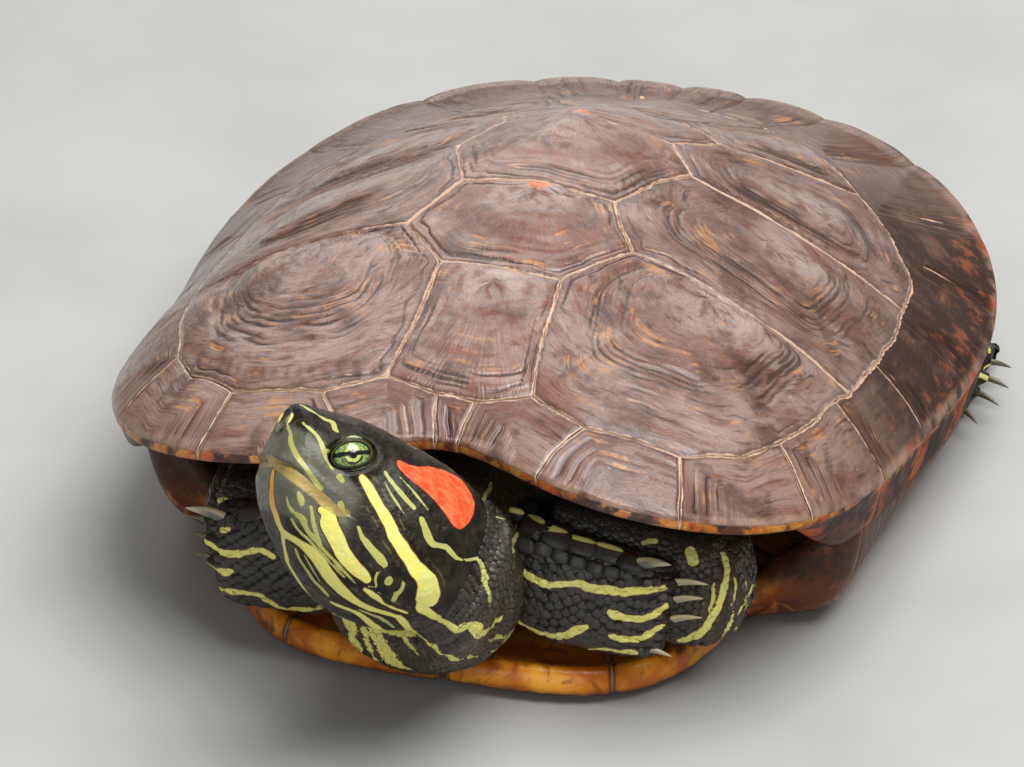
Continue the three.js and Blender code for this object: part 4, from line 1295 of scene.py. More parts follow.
def head_and_neck():
    """The skin of the head and neck: points, faces and markings."""
    s = np.concatenate([
        np.linspace(0.3, 3, 16)[:-1], np.linspace(3, 52, 132)[:-1], np.linspace(52, 84, 62)[:-1],
        np.linspace(84, 118, 20),
    ])
    columns = 264
    phi = (np.arange(columns) + 0.5) / columns * 360 - 180
    s_grid, phi_grid = np.meshgrid(s, phi, indexing="ij")
    points = on_head(s_grid.ravel(), phi_grid.ravel()).reshape(len(s), columns, 3)
    ring_after = np.roll(points, -1, axis=1) - np.roll(points, 1, axis=1)
    normals = unit(np.cross(ring_after, np.gradient(points, axis=0)))
    middle = points.mean(axis=1, keepdims=True)
    if np.sum((points - middle) * normals) < 0:
        normals = -normals
    s_flat, phi_flat = s_grid.ravel(), phi_grid.ravel()
    moved = head_features(points.reshape(-1, 3), normals.reshape(-1, 3), s_flat, phi_flat)
    marks = head_markings(points.reshape(-1, 3), normals.reshape(-1, 3), s_flat, phi_flat)
    faces = grid_faces(len(s), columns, closed=True)
    tip = moved[:columns].mean(axis=0) + FACING * 0.15
    marks = {name: np.append(value, value[:columns].mean()) for name, value in marks.items()}
    return np.vstack([moved, tip]), [faces, cone_faces(0, columns, len(moved))], marks


def lids(head_tree, side):
    """Upper and lower lids as one soft ring round the eye, its outer edge tucked under the skin."""
    gaze, level, up = eye_axes(side)
    centre = eye_centre(side)
    turn = turns(140)
    reach = (0.955, 0.975, 1.0, 1.02, 1.05, 1.09, 1.14, 1.2, 1.27, 1.35, 1.45, 1.55, 1.65, 1.75)
    tilt = math.radians(EYE_TILT) * side
    points = []
    for m in reach:
        across = EYE_OPEN_LONG * m * np.cos(turn)
        height = EYE_OPEN_TALL * m * np.sin(turn)
        height = height * (1 + 0.05 * (m > 1) * np.sin(turn))
        x = across * math.cos(tilt) - height * math.sin(tilt)
        y = across * math.sin(tilt) + height * math.cos(tilt)
        ball = np.sqrt(np.maximum(EYE_RADIUS**2 - x**2 - y**2, 0.2))
        edge_out = ball + np.interp(m, (0.955, 0.98, 1.02, 1.1, 1.3), (-0.5, 0.05, 0.4, 0.55, 0.3))
        flat = centre + np.outer(x, level) + np.outer(y, up)
        skin_out = np.empty(len(turn))
        for k, start in enumerate(flat):
            hit = head_tree.ray_cast(Vector(start + gaze * 14), Vector(-gaze))[0]
            skin_out[k] = (np.array(hit) - start) @ gaze if hit is not None else 0.0
        wrinkled = smooth(1.05, 1.15, m) * (1 - smooth(1.5, 1.65, m))
        wrinkle = 0.1 * np.sin(m * 42 + 0.8 * np.sin(turn * 3)) * wrinkled
        tucked_in = skin_out + 0.12 - 0.5 * smooth(1.6, 1.75, m)
        out = mix(edge_out, tucked_in, smooth(1.15, 1.6, m)) + wrinkle
        points.append(flat + np.outer(out, gaze))
    return np.array(points), grid_faces(len(reach), len(turn), closed=True)


# ------------------------------------------------------------------------------------------
# Limbs, tail and trunk. Left side; each station is centre x, y, z, half width and half height.

UPPER_ARM = [
    (44, -72, 28, 10, 10), (53, -80, 26, 10, 12), (54, -87, 24.5, 8, 13), (40, -90, 27, 6.5, 13),
    (24, -91, 31, 6, 12), (17, -92.5, 34, 5.2, 10.5),
]
ELBOW = [(17, -92.5, 34, 5, 10), (13.8, -95, 34.4, 4.8, 10), (14.5, -98, 34.2, 4.6, 10.2)]
FOREARM = [
    (13.5, -97.5, 34.2, 4.5, 10.4), (17, -99, 32.2, 5.6, 12.4), (25, -99.5, 28.4, 6.2, 13.2),
    (33, -99.5, 27.2, 6, 13), (39.5, -99.3, 26.4, 5.4, 12.6), (44.5, -99, 26, 4.6, 11.9),
    (48.5, -98.7, 25.6, 3.2, 10.4),
]
# Each finger and toe: its root, knuckle and the tip of its claw
FINGERS = [
    [(40, -100.5, 36.6), (44, -102, 37), (49.4, -102.6, 39.2)],
    [(44, -100.5, 32.6), (50, -101.4, 34), (57.2, -101, 34.6)],
    [(44, -100.5, 28.4), (50, -101.2, 29.2), (56.2, -101, 31)],
    [(44, -100.5, 23.6), (49.4, -101.2, 24.2), (56, -101, 26.2)],
    [(39, -100.5, 17.2), (44, -102, 16.8), (49.9, -102, 16)],
]
HIND_LEG = [
    (36, 58, 27, 12, 12), (50, 57, 25.5, 14, 13.5), (62, 54, 23.5, 12.6, 12.6), (68, 53.2, 21, 11, 11),
    (71, 54, 15, 10.2, 9.4), (74.4, 53, 9.8, 9.6, 7),
]
FOOT = [
    (72.8, 53.3, 11, 9.6, 7.4), (74.8, 52.8, 9.4, 10.4, 7), (79.4, 50.8, 6.6, 14.2, 5.2),
    (84.5, 49.4, 5.4, 17.4, 3.2), (87, 49.2, 5, 16.6, 1.6),
]
TOES = [
    [(79, 40, 6.8), (85, 34.6, 6.6), (91, 30.4, 4.6)],
    [(81, 44.6, 7.2), (88, 41.4, 7), (94.4, 39.2, 5.2)],
    [(81, 50, 7.2), (88.6, 48.8, 7), (95, 48, 5.2)],
    [(81, 55.4, 7), (87.6, 57, 6.6), (93.6, 58.6, 4.8)],
    [(77, 60, 6.8), (83, 64.4, 6.2), (86.6, 67.6, 5)],
]
TAIL = [
    (0, 76, 20, 9, 9), (0, 90, 18, 8.4, 8.4), (3, 101, 15, 6.4, 6), (10, 109, 12, 4.4, 4),
    (19, 112.4, 9.4, 2.8, 2.6), (27, 112, 7.6, 0.9, 0.9),
]
# The right arm lies a little lower, with its elbow further in and its hand and first finger further out
RIGHT_ARM_DROP = 1.5
RIGHT_ELBOW_IN = 4.0
RIGHT_HAND_OUT = 3.4
RIGHT_FIRST_FINGER_OUT = 5.0
RIGHT_FIRST_FINGER_DROP = 2.0
SIDEWAYS = (0, 0.1, 1)
UPRIGHT = (0, 0, 1)
FINGER_RADIUS = 2.2
TOE_RADIUS = 2.3
# How finely the skin of the limbs and of the trunk is meshed
LIMB_MESH_STEP = 0.62
TRUNK_MESH_STEP = 1.6
LEAST_HEIGHT = 0.06


def to_side(stations, side):
    return [(x * side, *rest) for x, *rest in stations]


def arm_to_side(stations, side):
    """The forearm, hand or fingers of one side."""
    if side > 0:
        return stations
    return [(-x - RIGHT_HAND_OUT * min(max((x - 17) / 22, 0), 1), y, z - RIGHT_ARM_DROP, *rest)
            for x, y, z, *rest in stations]


def upper_arm(side):
    if side > 0:
        return UPPER_ARM
    return [(-x + RIGHT_ELBOW_IN * min(max((x - 40) / 13, 0), 1), y, z - RIGHT_ARM_DROP, *rest)
            for x, y, z, *rest in UPPER_ARM]


def tube(stations, upward, sides=28, per_span=5, shrink=0.25):
    """A closed tube through stations, its height lying nearest to upward."""
    line = curve_through(stations, per_span)
    centres = line[:, :3]
    direction = unit(np.gradient(centres, axis=0))
    side = unit(np.cross(np.array(upward, float), direction))
    top = np.cross(direction, side)
    turn = turns(sides)[None, :, None]
    wide = np.maximum(line[:, 3] - shrink, 0.3)[:, None, None]
    tall = np.maximum(line[:, 4] - shrink, 0.3)[:, None, None]
    rings = centres[:, None] + side[:, None] * wide * np.cos(turn) + top[:, None] * tall * np.sin(turn)
    return closed_body(rings, centres[0], centres[-1])


def fingers(side):
    """The finger lines of one hand; the right first finger lies further out."""
    out, drop = (RIGHT_FIRST_FINGER_OUT, RIGHT_FIRST_FINGER_DROP) if side < 0 else (0.0, 0.0)
    first = [(x + out, y, z - drop) for x, y, z in FINGERS[0]]
    return [arm_to_side(line, side) for line in [first, *FINGERS[1:]]]


def digit(line, radius):
    """A finger or toe up to the root of its claw, with a round end."""
    root, knuckle, tip = (np.array(p, float) for p in line)
    end = mix(knuckle, tip, 0.12)
    places = (root, mix(root, knuckle, 0.6), knuckle, end)
    shares = ((1.25, 1.15), (1.0, 0.95), (0.75, 0.7), (0.42, 0.4))
    return [(*place, radius * wide, radius * tall) for place, (wide, tall) in zip(places, shares)]


def trunk_rings():
    """The body inside the shell, from under the back to just above the plastron."""
    angle = turns(48)
    inside_by = SHELL_THICK + 1.2
    rings = [shell_point(angle, carapace_radius(angle, r) - 1, carapace_height(angle, r) - inside_by)
             for r in (0.3, 0.56, 0.72)]
    free = carapace_height(angle, 0.8) - inside_by - 4
    flank = mix(free, rim_height(angle) - 5, bridged(angle))
    rings.append(shell_point(angle, carapace_radius(angle, 0.77) - 2, flank))
    w = buttressed(angle)
    out = mix(lobe_radius(angle) - 15, carapace_radius(angle, 0.82) - 2, w)
    rings.append(shell_point(angle, out, mix(24.0, rim_height(angle) - 14, w)))
    rings.append(shell_point(angle, lobe_radius(angle) - 17, mix(LIP_HEIGHT + 2, PLASTRON_THICK + 5, w)))
    top, bottom = APEX_HEIGHT - inside_by - 1, PLASTRON_THICK + 1.5
    return closed_body(np.array(rings), (0, CENTRE_Y, top), (0, CENTRE_Y, bottom))


def remeshed(surface, voxel):
    """The union of closed bodies as one even skin."""
    obj = surface.build("working body", None)
    obj.data.materials.clear()
    modifier = obj.modifiers.new("even", "REMESH")
    modifier.mode = "VOXEL"
    modifier.voxel_size = voxel * MM
    depsgraph = bpy.context.evaluated_depsgraph_get()
    mesh = obj.evaluated_get(depsgraph).to_mesh()
    points = read_all(mesh.vertices, "co", 3) / MM
    quads = read_all(mesh.loops, "vertex_index", kind=int).reshape(-1, 4)
    bpy.data.objects.remove(obj)
    return points, quads


def relaxed(points, quads, times):
    """Evens out the small steps that remeshing leaves."""
    start, end = np.concatenate([quads[:, [k, (k + 1) % 4]] for k in range(4)]).T
    count = np.maximum(np.bincount(start, minlength=len(points)), 1)[:, None]
    for _ in range(times):
        sums = np.stack([np.bincount(start, points[end, k], len(points)) for k in range(3)], 1)
        points = 0.4 * points + 0.6 * sums / count
    return points


def point_normals(points, quads):
    a, b, c, d = (points[quads[:, k]] for k in range(4))
    face = np.cross(c - a, d - b)
    total = np.zeros_like(points)
    for k in range(4):
        for axis in range(3):
            total[:, axis] += np.bincount(quads[:, k], face[:, axis], len(points))
    return unit(total)


# Stripes on the arms: x, y, z, half width
ARM_STRIPES = {
    "middle": [
        (9.8, -98.2, 36.2, 0.8), (13.1, -102.2, 34.9, 0.9), (16.9, -104.2, 33.5, 0.9),
        (21.5, -104.8, 31.8, 0.9), (24.5, -105, 31.6, 0.7), (30, -104.5, 32.5, 0.75),
        (32.3, -104.5, 31.8, 0.9), (39.8, -103.6, 31.6, 0.95), (43.9, -102.8, 32.2, 0.9),
        (48, -103, 33.4, 0.7),
    ],
    "low": [
        (13, -103, 24.6, 0.5), (14.2, -103.3, 23, 0.7), (15.9, -103, 20.6, 0.8),
        (18.1, -102.8, 19.1, 0.9), (20.9, -103.5, 18.4, 0.9), (23.6, -103.9, 18.1, 1.1),
        (27.1, -104.5, 19.1, 1.1), (29.8, -105.1, 21.4, 1.1), (32, -105.2, 22.5, 0.7),
    ],
    "third finger": [
        (36.9, -104.9, 26.8, 0.6), (38.2, -104.8, 26.2, 0.85), (41.1, -104.2, 25.6, 0.8),
        (44.2, -103.5, 25.9, 0.8), (46.4, -102.7, 26.8, 0.8), (48.5, -102.9, 28.8, 0.6),
    ],
    "fourth finger": [
        (37.2, -104.7, 20.9, 0.6), (39, -104.2, 20.2, 0.8), (41.8, -104, 20.3, 0.8),
        (44.3, -103.4, 21.1, 0.85), (46.3, -102.9, 22.6, 0.8), (48.4, -102.9, 24.2, 0.5),
    ],
    "fifth finger": [
        (32.1, -102.6, 15.5, 0.5), (35, -103.4, 16.5, 0.6), (36.8, -103, 16.4, 0.7),
        (39.2, -103, 16.2, 0.8), (42.2, -103.3, 16.7, 0.6),
    ],
    "elbow": [
        (57.4, -89, 35.2, 0.5), (58.8, -90.5, 32.3, 0.7), (58.8, -92, 29.5, 0.7),
        (58.4, -92.8, 26.6, 0.7), (57.5, -93.4, 23.9, 0.8), (56.1, -94.4, 21.2, 0.85),
        (53.8, -94.3, 17.5, 0.9), (50, -94, 15, 0.8),
    ],
    "elbow 2": [(63.4, -85.1, 25.8, 0.5), (62.6, -88, 20, 0.55), (60.5, -89.5, 16, 0.5)],
    "elbow 3": [(60.6, -91.4, 22.7, 0.4), (59.7, -91, 19, 0.45), (58.1, -90.1, 15.4, 0.4)],
    "elbow 4": [(62.3, -87, 27.5, 0.35), (62.3, -87.8, 23.7, 0.4), (61.4, -90, 21.5, 0.35)],
    "elbow 5": [(60.4, -90, 31.5, 0.35), (60.9, -90.6, 27.5, 0.4), (60.2, -91.8, 24.5, 0.35)],
    "elbow 6": [(56.6, -93.3, 30, 0.35), (56.6, -93.8, 26, 0.35), (54.6, -94.6, 22, 0.35)],
    "wrist spot": [(50.8, -91.3, 36, 1.1), (51.8, -92.3, 34.2, 1.0)],
    "inner spot": [(40.9, -92.7, 37.4, 0.6), (43.3, -91.8, 37.7, 0.5)],
}
RIGHT_ARM_STRIPES = {
    "first": [
        (-53.9, -102.4, 28.6, 0.4), (-53.4, -102.7, 27.9, 0.6), (-51.8, -102.9, 27, 0.8),
        (-50, -102.8, 26.2, 0.8), (-47.6, -103.3, 26.2, 0.9), (-45.3, -103.7, 27, 0.8),
        (-42.9, -104, 28.1, 0.7), (-40.6, -104.2, 28.9, 0.7), (-37.5, -104.8, 28.2, 0.7),
    ],
    "second": [
        (-54.2, -101.9, 22.7, 0.4), (-52.5, -102.3, 21.6, 0.6), (-49.6, -102.8, 21, 0.8),
        (-46.9, -103.7, 22.5, 0.5),
    ],
    "third": [
        (-52.5, -100.5, 15.6, 0.4), (-50.1, -101.5, 15.9, 0.6), (-47.3, -103.1, 16.8, 0.7),
        (-45, -103.5, 17.2, 0.7), (-42.6, -104, 17.6, 0.6), (-40.7, -104.2, 17.6, 0.6),
        (-39.4, -104.1, 16.7, 0.7), (-37.5, -103.7, 15.5, 0.9), (-35.4, -103.1, 14.5, 0.9),
        (-31.5, -103.5, 15, 1.0), (-28.5, -104, 16.2, 0.7), (-26.1, -104.4, 17.8, 0.5),
    ],
    "claw spot": [(-49.4, -103, 31.7, 0.7), (-48.2, -102.8, 32, 0.6)],
    "wrist spot": [(-53.4, -91.5, 31.2, 0.9), (-51.5, -93, 33, 0.9)],
}
# The large plates along the leading edge of the left forearm: x, y, z, length and height
LEADING_PLATES = [
    (14.3, -98.7, 43, 3.4, 4.0), (18.4, -100.6, 42.4, 4.9, 4.8), (23.7, -101, 40.7, 6.2, 4.4),
    (29.2, -100.9, 39.4, 6.2, 4.0), (35, -100.8, 38.6, 6.6, 3.8), (40.6, -101.9, 38.2, 5.6, 3.6),
]
SECOND_ROW = [
    (17.6, -103, 39, 4.0, 3.2), (21.4, -102.4, 38.4, 4.0, 3.0), (25.2, -102.6, 37.4, 4.0, 2.9),
    (29, -102.6, 36.6, 3.8, 2.8), (32.7, -102.7, 35.9, 3.8, 2.7), (36.4, -102.6, 35.4, 3.6, 2.6),
]
LEG_STRIPE_TURNS = (20, 75, 130, 180, 230, 285, 335)
TAIL_STRIPE_TURNS = (35, 90, 150, 210, 270, 325)


def on_axis(points, stations):
    """How far along a limb's line each point lies (0 to 1), its angle round it and its distance from it."""
    line = curve_through([station[:3] for station in stations], 6)
    steps = np.linspace(0, 1, len(line))
    distance, where = to_segments(points, line)
    direction = read_at(where, steps, unit(np.gradient(line, axis=0)))
    away = points - read_at(where, steps, line)
    side = unit(np.cross([0.05, 0.02, 1.0], direction))
    top = np.cross(direction, side)
    angle = np.degrees(np.arctan2(np.sum(away * side, 1), np.sum(away * top, 1))) % 360
    return where, angle, distance


def off_turn(angle, turn, distance):
    """How far round a limb each point is from the line at turn degrees, in millimetres."""
    return np.radians(np.abs((angle - turn + 180) % 360 - 180)) * distance


def limb_markings(points):
    """Stripe values over the limbs, tail and trunk."""
    ragged = 0.14 * rough(points, 1.5, 61, 2) + 0.3 * noise(np.round(points / 1.5) * 1.5, 2.2, 63)
    yellow = np.full(len(points), -9.0)
    for side, stripes in ((1, ARM_STRIPES), (-1, RIGHT_ARM_STRIPES)):
        here = (points[:, 0] * side > 6) & (points[:, 1] < -72)
        for knots in stripes.values():
            line = curve_through(knots, 4)
            distance, where = to_segments(points[here], line[:, :3])
            width = 1.08 * np.interp(where, np.linspace(0, 1, len(line)), line[:, 3])
            yellow[here] = np.maximum(yellow[here], width - distance)
        leg = (points[:, 0] * side > 30) & (points[:, 1] > 20)
        stations = to_side(HIND_LEG + FOOT[2:], side)
        where, angle, distance = on_axis(points[leg], stations)
        for number, turn in enumerate(LEG_STRIPE_TURNS):
            width = 0.5 + 0.3 * np.sin(where * 9 + number * 2.1)
            width = np.where(noise(points[leg], 8, 70 + number) > -0.1, width, 0.0)
            yellow[leg] = np.maximum(yellow[leg], width - off_turn(angle, turn, distance))
    tail = (points[:, 1] > 84) & (np.abs(points[:, 0]) < 32)
    where, angle, distance = on_axis(points[tail], TAIL)
    for turn in TAIL_STRIPE_TURNS:
        width = 0.5 - 0.2 * where
        yellow[tail] = np.maximum(yellow[tail], width - off_turn(angle, turn, distance))
    zero = np.zeros(len(points))
    soft = smooth(49, 55, np.abs(points[:, 0])) * smooth(-97.5, -95, points[:, 1]) * (points[:, 1] < 0)
    return {
        "yellow": yellow + ragged, "green": zero - 9, "patch": zero - 9, "lip": zero, "horn": zero,
        "warm": zero, "soft": soft, "hair": zero,
    }


def limbs_and_trunk():
    """The skin of the limbs and tail, and that of the trunk: each as points, faces and markings."""
    limbs = Surface()
    for _, side in SIDES:
        limbs.add(*tube(upper_arm(side), SIDEWAYS))
        limbs.add(*tube(arm_to_side(FOREARM, side), SIDEWAYS))
        limbs.add(*tube(arm_to_side(ELBOW, side), SIDEWAYS))
        for number, line in enumerate(fingers(side)):
            radius = FINGER_RADIUS * (0.8 if number == 0 else 1.0)
            # only the claw of the first finger stands clear of the hand
            if number == 0:
                root, knuckle = (np.array(p, float) for p in line[:2])
                line = [root, mix(root, knuckle, 0.45), mix(root, knuckle, 0.8)]
            limbs.add(*tube(digit(line, radius), UPRIGHT, 16))
        limbs.add(*tube(to_side(HIND_LEG, side), UPRIGHT))
        limbs.add(*tube(to_side(FOOT, side), UPRIGHT))
        for line in TOES:
            limbs.add(*tube(digit(to_side(line, side), TOE_RADIUS), UPRIGHT, 16))
    limbs.add(*tube(TAIL, UPRIGHT))
    points, quads = remeshed(limbs, LIMB_MESH_STEP)
    points = relaxed(points, quads, 3)
    normals = point_normals(points, quads)
    at_elbow = smooth(50, 56, np.abs(points[:, 0])) * (points[:, 1] < 0)
    wrinkle = 0.3 * np.sin(points[:, 0] * 1.5 + 2.5 * noise(points, 9, 91)) * at_elbow
    high = 0.16 * rough(points, 1.7, 93, 3) + wrinkle
    points = points + normals * high[:, None]
    points[:, 2] = np.maximum(points[:, 2], LEAST_HEIGHT)
    marks = limb_markings(points)
    trunk = Surface()
    trunk.add(*trunk_rings())
    body, body_quads = remeshed(trunk, TRUNK_MESH_STEP)
    body = relaxed(body, body_quads, 3)
    body = body + point_normals(body, body_quads) * (0.5 * rough(body, 6, 95, 3))[:, None]
    return (points, quads, marks), (body, body_quads, limb_markings(body))


# ------------------------------------------------------------------------------------------
# Scales and claws


# A scale in section, from under its edge to near its middle: how far out, and how high
FINE_SCALE = ((1.0, -0.35), (0.9, 0.55), (0.6, 0.9), (0.25, 1.0))
LARGE_SCALE = ((1.0, -0.35), (0.96, 0.3), (0.86, 0.62), (0.7, 0.82), (0.45, 0.95), (0.2, 1.0))
NECK_SCALE = 1.45
NECK_SCALE_ROWS = 1.15
LARGE_PLATE_THICK = 0.75
FURTHEST_ROOT = 1.6
SOLE_HEIGHT = 1.2
# Size of a scale's patch on the unwrap
PATCH_SIZE = 0.0024


def scale_template(sides, square, section):
    """A blunt overlapping scale one unit long and wide: across, along the lie, and thickness."""
    turn = turns(sides)
    rounding = (np.abs(np.cos(turn)) ** square + np.abs(np.sin(turn)) ** square) ** (-1 / square)
    rows = []
    for reach, high in section:
        across = reach * 0.55 * np.cos(turn) * rounding
        ahead = reach * 0.6 * np.sin(turn) * rounding
        rows.append(np.stack([across, ahead, high + 0.25 * ahead], 1))
    points = np.concatenate([*rows, [[0, 0, 1.0]]])
    cap = cone_faces((len(rows) - 1) * sides, sides, len(rows) * sides)
    return points, [grid_faces(len(rows), sides, closed=True), cap]


def add_scales(surface, sites, patches, sides=8, square=2.0, section=FINE_SCALE):
    """Scales at sites: place, normal, lie, width, length, thickness. Patches are places on the unwrap."""
    shape, faces = scale_template(sides, square, section)
    place = np.array([site[0] for site in sites])
    normal = unit([site[1] for site in sites])
    lie = np.array([site[2] for site in sites], float)
    lie = unit(lie - normal * np.sum(lie * normal, axis=1, keepdims=True))
    across = np.cross(lie, normal)
    sizes = np.array([site[3:6] for site in sites], float)
    axes = np.stack([across, lie, normal], 1) * sizes[:, :, None]
    points = place[:, None] + shape @ axes
    starts = np.arange(len(sites)) * len(shape)
    every = [(face_set[None] + starts[:, None, None]).reshape(-1, face_set.shape[1]) for face_set in faces]
    flat = shape * (PATCH_SIZE, PATCH_SIZE, 0)
    roots = np.pad(np.array(patches, float), ((0, 0), (0, 1)))
    chart = (roots[:, None] + flat).reshape(-1, 3)
    surface.add(points, every, dome=np.tile(shape[:, 2], len(sites)), chart=chart)


def with_bake_map(obj, surface):
    """Lays each scale's patch at its root's place on the unwrap, as the map OFBake."""
    chart = np.concatenate(surface.values["chart"])[:, :2]
    loops = read_all(obj.data.loops, "vertex_index", kind=int)
    layer = obj.data.uv_layers.new(name="OFBake")
    layer.data.foreach_set("uv", chart[loops].ravel())


def claw(line, radius, start, reach=1.0, rows=18, sides=16):
    """A curved claw from a place between the digit's root (0) and knuckle (1) out to its tip."""
    root, knuckle, tip = (np.array(p, float) for p in line)
    tip = mix(knuckle, tip, reach)
    base = mix(root, knuckle, start)
    direction = unit(tip - base)
    length = np.linalg.norm(tip - base)
    t = np.linspace(0, 1, rows)
    lift = unit(np.array([0, 0, 1.0]) - direction * direction[2])
    side = np.cross(direction, lift)
    arch = np.sin(t * math.pi) * length * 0.06
    centre = base + np.outer(t * length, direction) + np.outer(arch, lift)
    wide = radius * (1 - t**1.6) ** 0.8 + 0.05
    ring = np.outer(np.cos(turns(sides)), side) * 0.8 + np.outer(np.sin(turns(sides)), lift)
    return centre[:, None] + ring * wide[:, None, None], t


# ------------------------------------------------------------------------------------------
# Finishes


def horn_finish(name, shell, rim=False, coat=0.35, specular=0.5):
    """Worn brown horn with growth rings, rust streaks, orange flecks and pale seams, with painted sheen on
    the ring crests and areolas and painted shade in the furrows and low on the flanks.
    """
    f = Finish(name)
    line, edge, fan = f.value("line"), f.value("edge"), f.value("fan", "Vector")
    broad = f.noise(22, detail=3)
    # these run round the plate with its growth rings: wide bands, narrow bands and fine lines
    bands = f.noise(1.0, f.maths_vector("MULTIPLY", fan, (0.05, 0.05, 0.26)), detail=4, rough=0.6)
    strands = f.noise(1.0, f.maths_vector("MULTIPLY", fan, (0.09, 0.09, 0.62)), detail=4, rough=0.65)
    rounds = f.noise(1.0, f.maths_vector("MULTIPLY", fan, (0.1, 0.1, 1.25)), detail=4, rough=0.7)
    rays = f.noise(1.0, f.maths_vector("MULTIPLY", fan, (0.9, 0.9, 0.1)), detail=3, rough=0.7)
    # on the vertebrals the streaks fan out from the knob instead
    ringed = f.minus(1.0, f.times(f.value("radial"), 0.75))
    fanned = f.plus(0.15, f.times(f.value("radial"), 0.55))
    colour = f.blend(f.ease(broad, 0.36, 0.6), shell.brown, shell.mauve)
    colour = f.blend(f.ease(bands, 0.47, 0.66, 0, 0.75), colour, shell.red)
    colour = f.blend(f.times(f.ease(strands, 0.53, 0.7, 0, 0.85), ringed), colour, shell.dark)
    colour = f.blend(f.times(f.ease(rays, 0.5, 0.68), fanned), colour, shell.rust)
    # darker in the fine furrows: partly the rings' own dark horn, partly painted shade in the hollows
    furrow = f.times(f.ease(rounds, 0.52, 0.66, 0, 0.4), ringed)
    colour = f.blend(furrow, colour, (0.05, 0.018, 0.011))
    # painted highlight: paler mauve on the crests between the furrows, a painted sheen
    crest = f.times(f.ease(rounds, 0.44, 0.32, 0, 0.22), ringed)
    colour = f.blend(crest, colour, (0.42, 0.28, 0.22))
    # painted sheen: paler grey mauve over each raised areola
    old = f.times(f.value("old"), f.ease(bands, 0.62, 0.4))
    colour = f.blend(f.times(old, 0.7), colour, (0.43, 0.335, 0.31))
    stained = f.ease(f.noise(13, detail=4, rough=0.6, twist=0.6), 0.5, 0.64)
    stained = f.times(stained, f.ease(f.value("old"), 0.7, 0.1))
    colour = f.blend(f.times(stained, 0.62), colour, (0.05, 0.018, 0.01))
    # darker and browner lower down the shell: partly the flanks' own darker horn, partly painted shade where
    # they turn from the light above
    low = f.ease(f.place_height(), 64, 28, 0, 0.62)
    colour = f.blend(low, colour, (0.085, 0.038, 0.02))
    colour = f.blend(f.ease(line, 0.12, 0.75, 0, 0.85), colour, (0.03, 0.012, 0.008))
    beside = f.times(f.ease(line, 0.02, 0.1), f.ease(line, 0.35, 0.16))
    beside = f.times(beside, f.patches(7, 0.54, 0.66))
    colour = f.blend(f.times(beside, 0.55), colour, shell.orange)
    fleck = f.times(f.ease(strands, 0.36, 0.28), f.patches(11, 0.52, 0.62))
    colour = f.blend(f.times(fleck, 0.4), colour, shell.orange)
    scratch = f.noise(0.42, f.maths_vector("MULTIPLY", fan, (0.35, 0.35, 1.2)), detail=2, rough=0.7)
    colour = f.blend(f.ease(scratch, 0.66, 0.78, 0, 0.6), colour, (0.6, 0.48, 0.4))
    colour = f.blend(f.ease(f.value("knob"), 0.3, 0.7, 0, 0.9), colour, (0.66, 0.18, 0.05))
    wobble = f.minus(f.noise(2.2, detail=3), 0.5)
    ragged = f.plus(edge, f.times(wobble, 1.1))
    seam = f.ease(ragged, 0.28, 0.1, 0, 0.8)
    if rim:
        colour = rim_colours(f, colour)
        seam = f.times(seam, f.value("pale"))
    colour = f.blend(f.ease(ragged, 1.3, 0.5, 0, 0.35), colour, shell.dark)
    colour = f.blend(seam, colour, shell.seam)
    height = f.minus(1.0, f.times(f.ease(rounds, 0.3, 0.7), ringed))
    height = f.minus(height, f.times(f.ease(rays, 0.35, 0.7), fanned))
    height = f.plus(height, f.times(f.noise(1.2, detail=3), 0.25))
    normal = f.bump(height, 0.13)
    roughness = f.patches(4, 0.3, 0.7, 0.2, 0.3)
    roughness = f.plus(roughness, f.ease(strands, 0.4, 0.7, 0, 0.12))
    if rim:
        roughness = f.plus(roughness, f.ease(f.value("under"), 0.02, 0.1, 0, 0.3))
        roughness = f.plus(roughness, f.times(f.value("dusk"), 0.16))
    return f.done(
        colour, roughness, normal, coat_weight=coat, coat_roughness=0.16, specular_ior_level=specular)


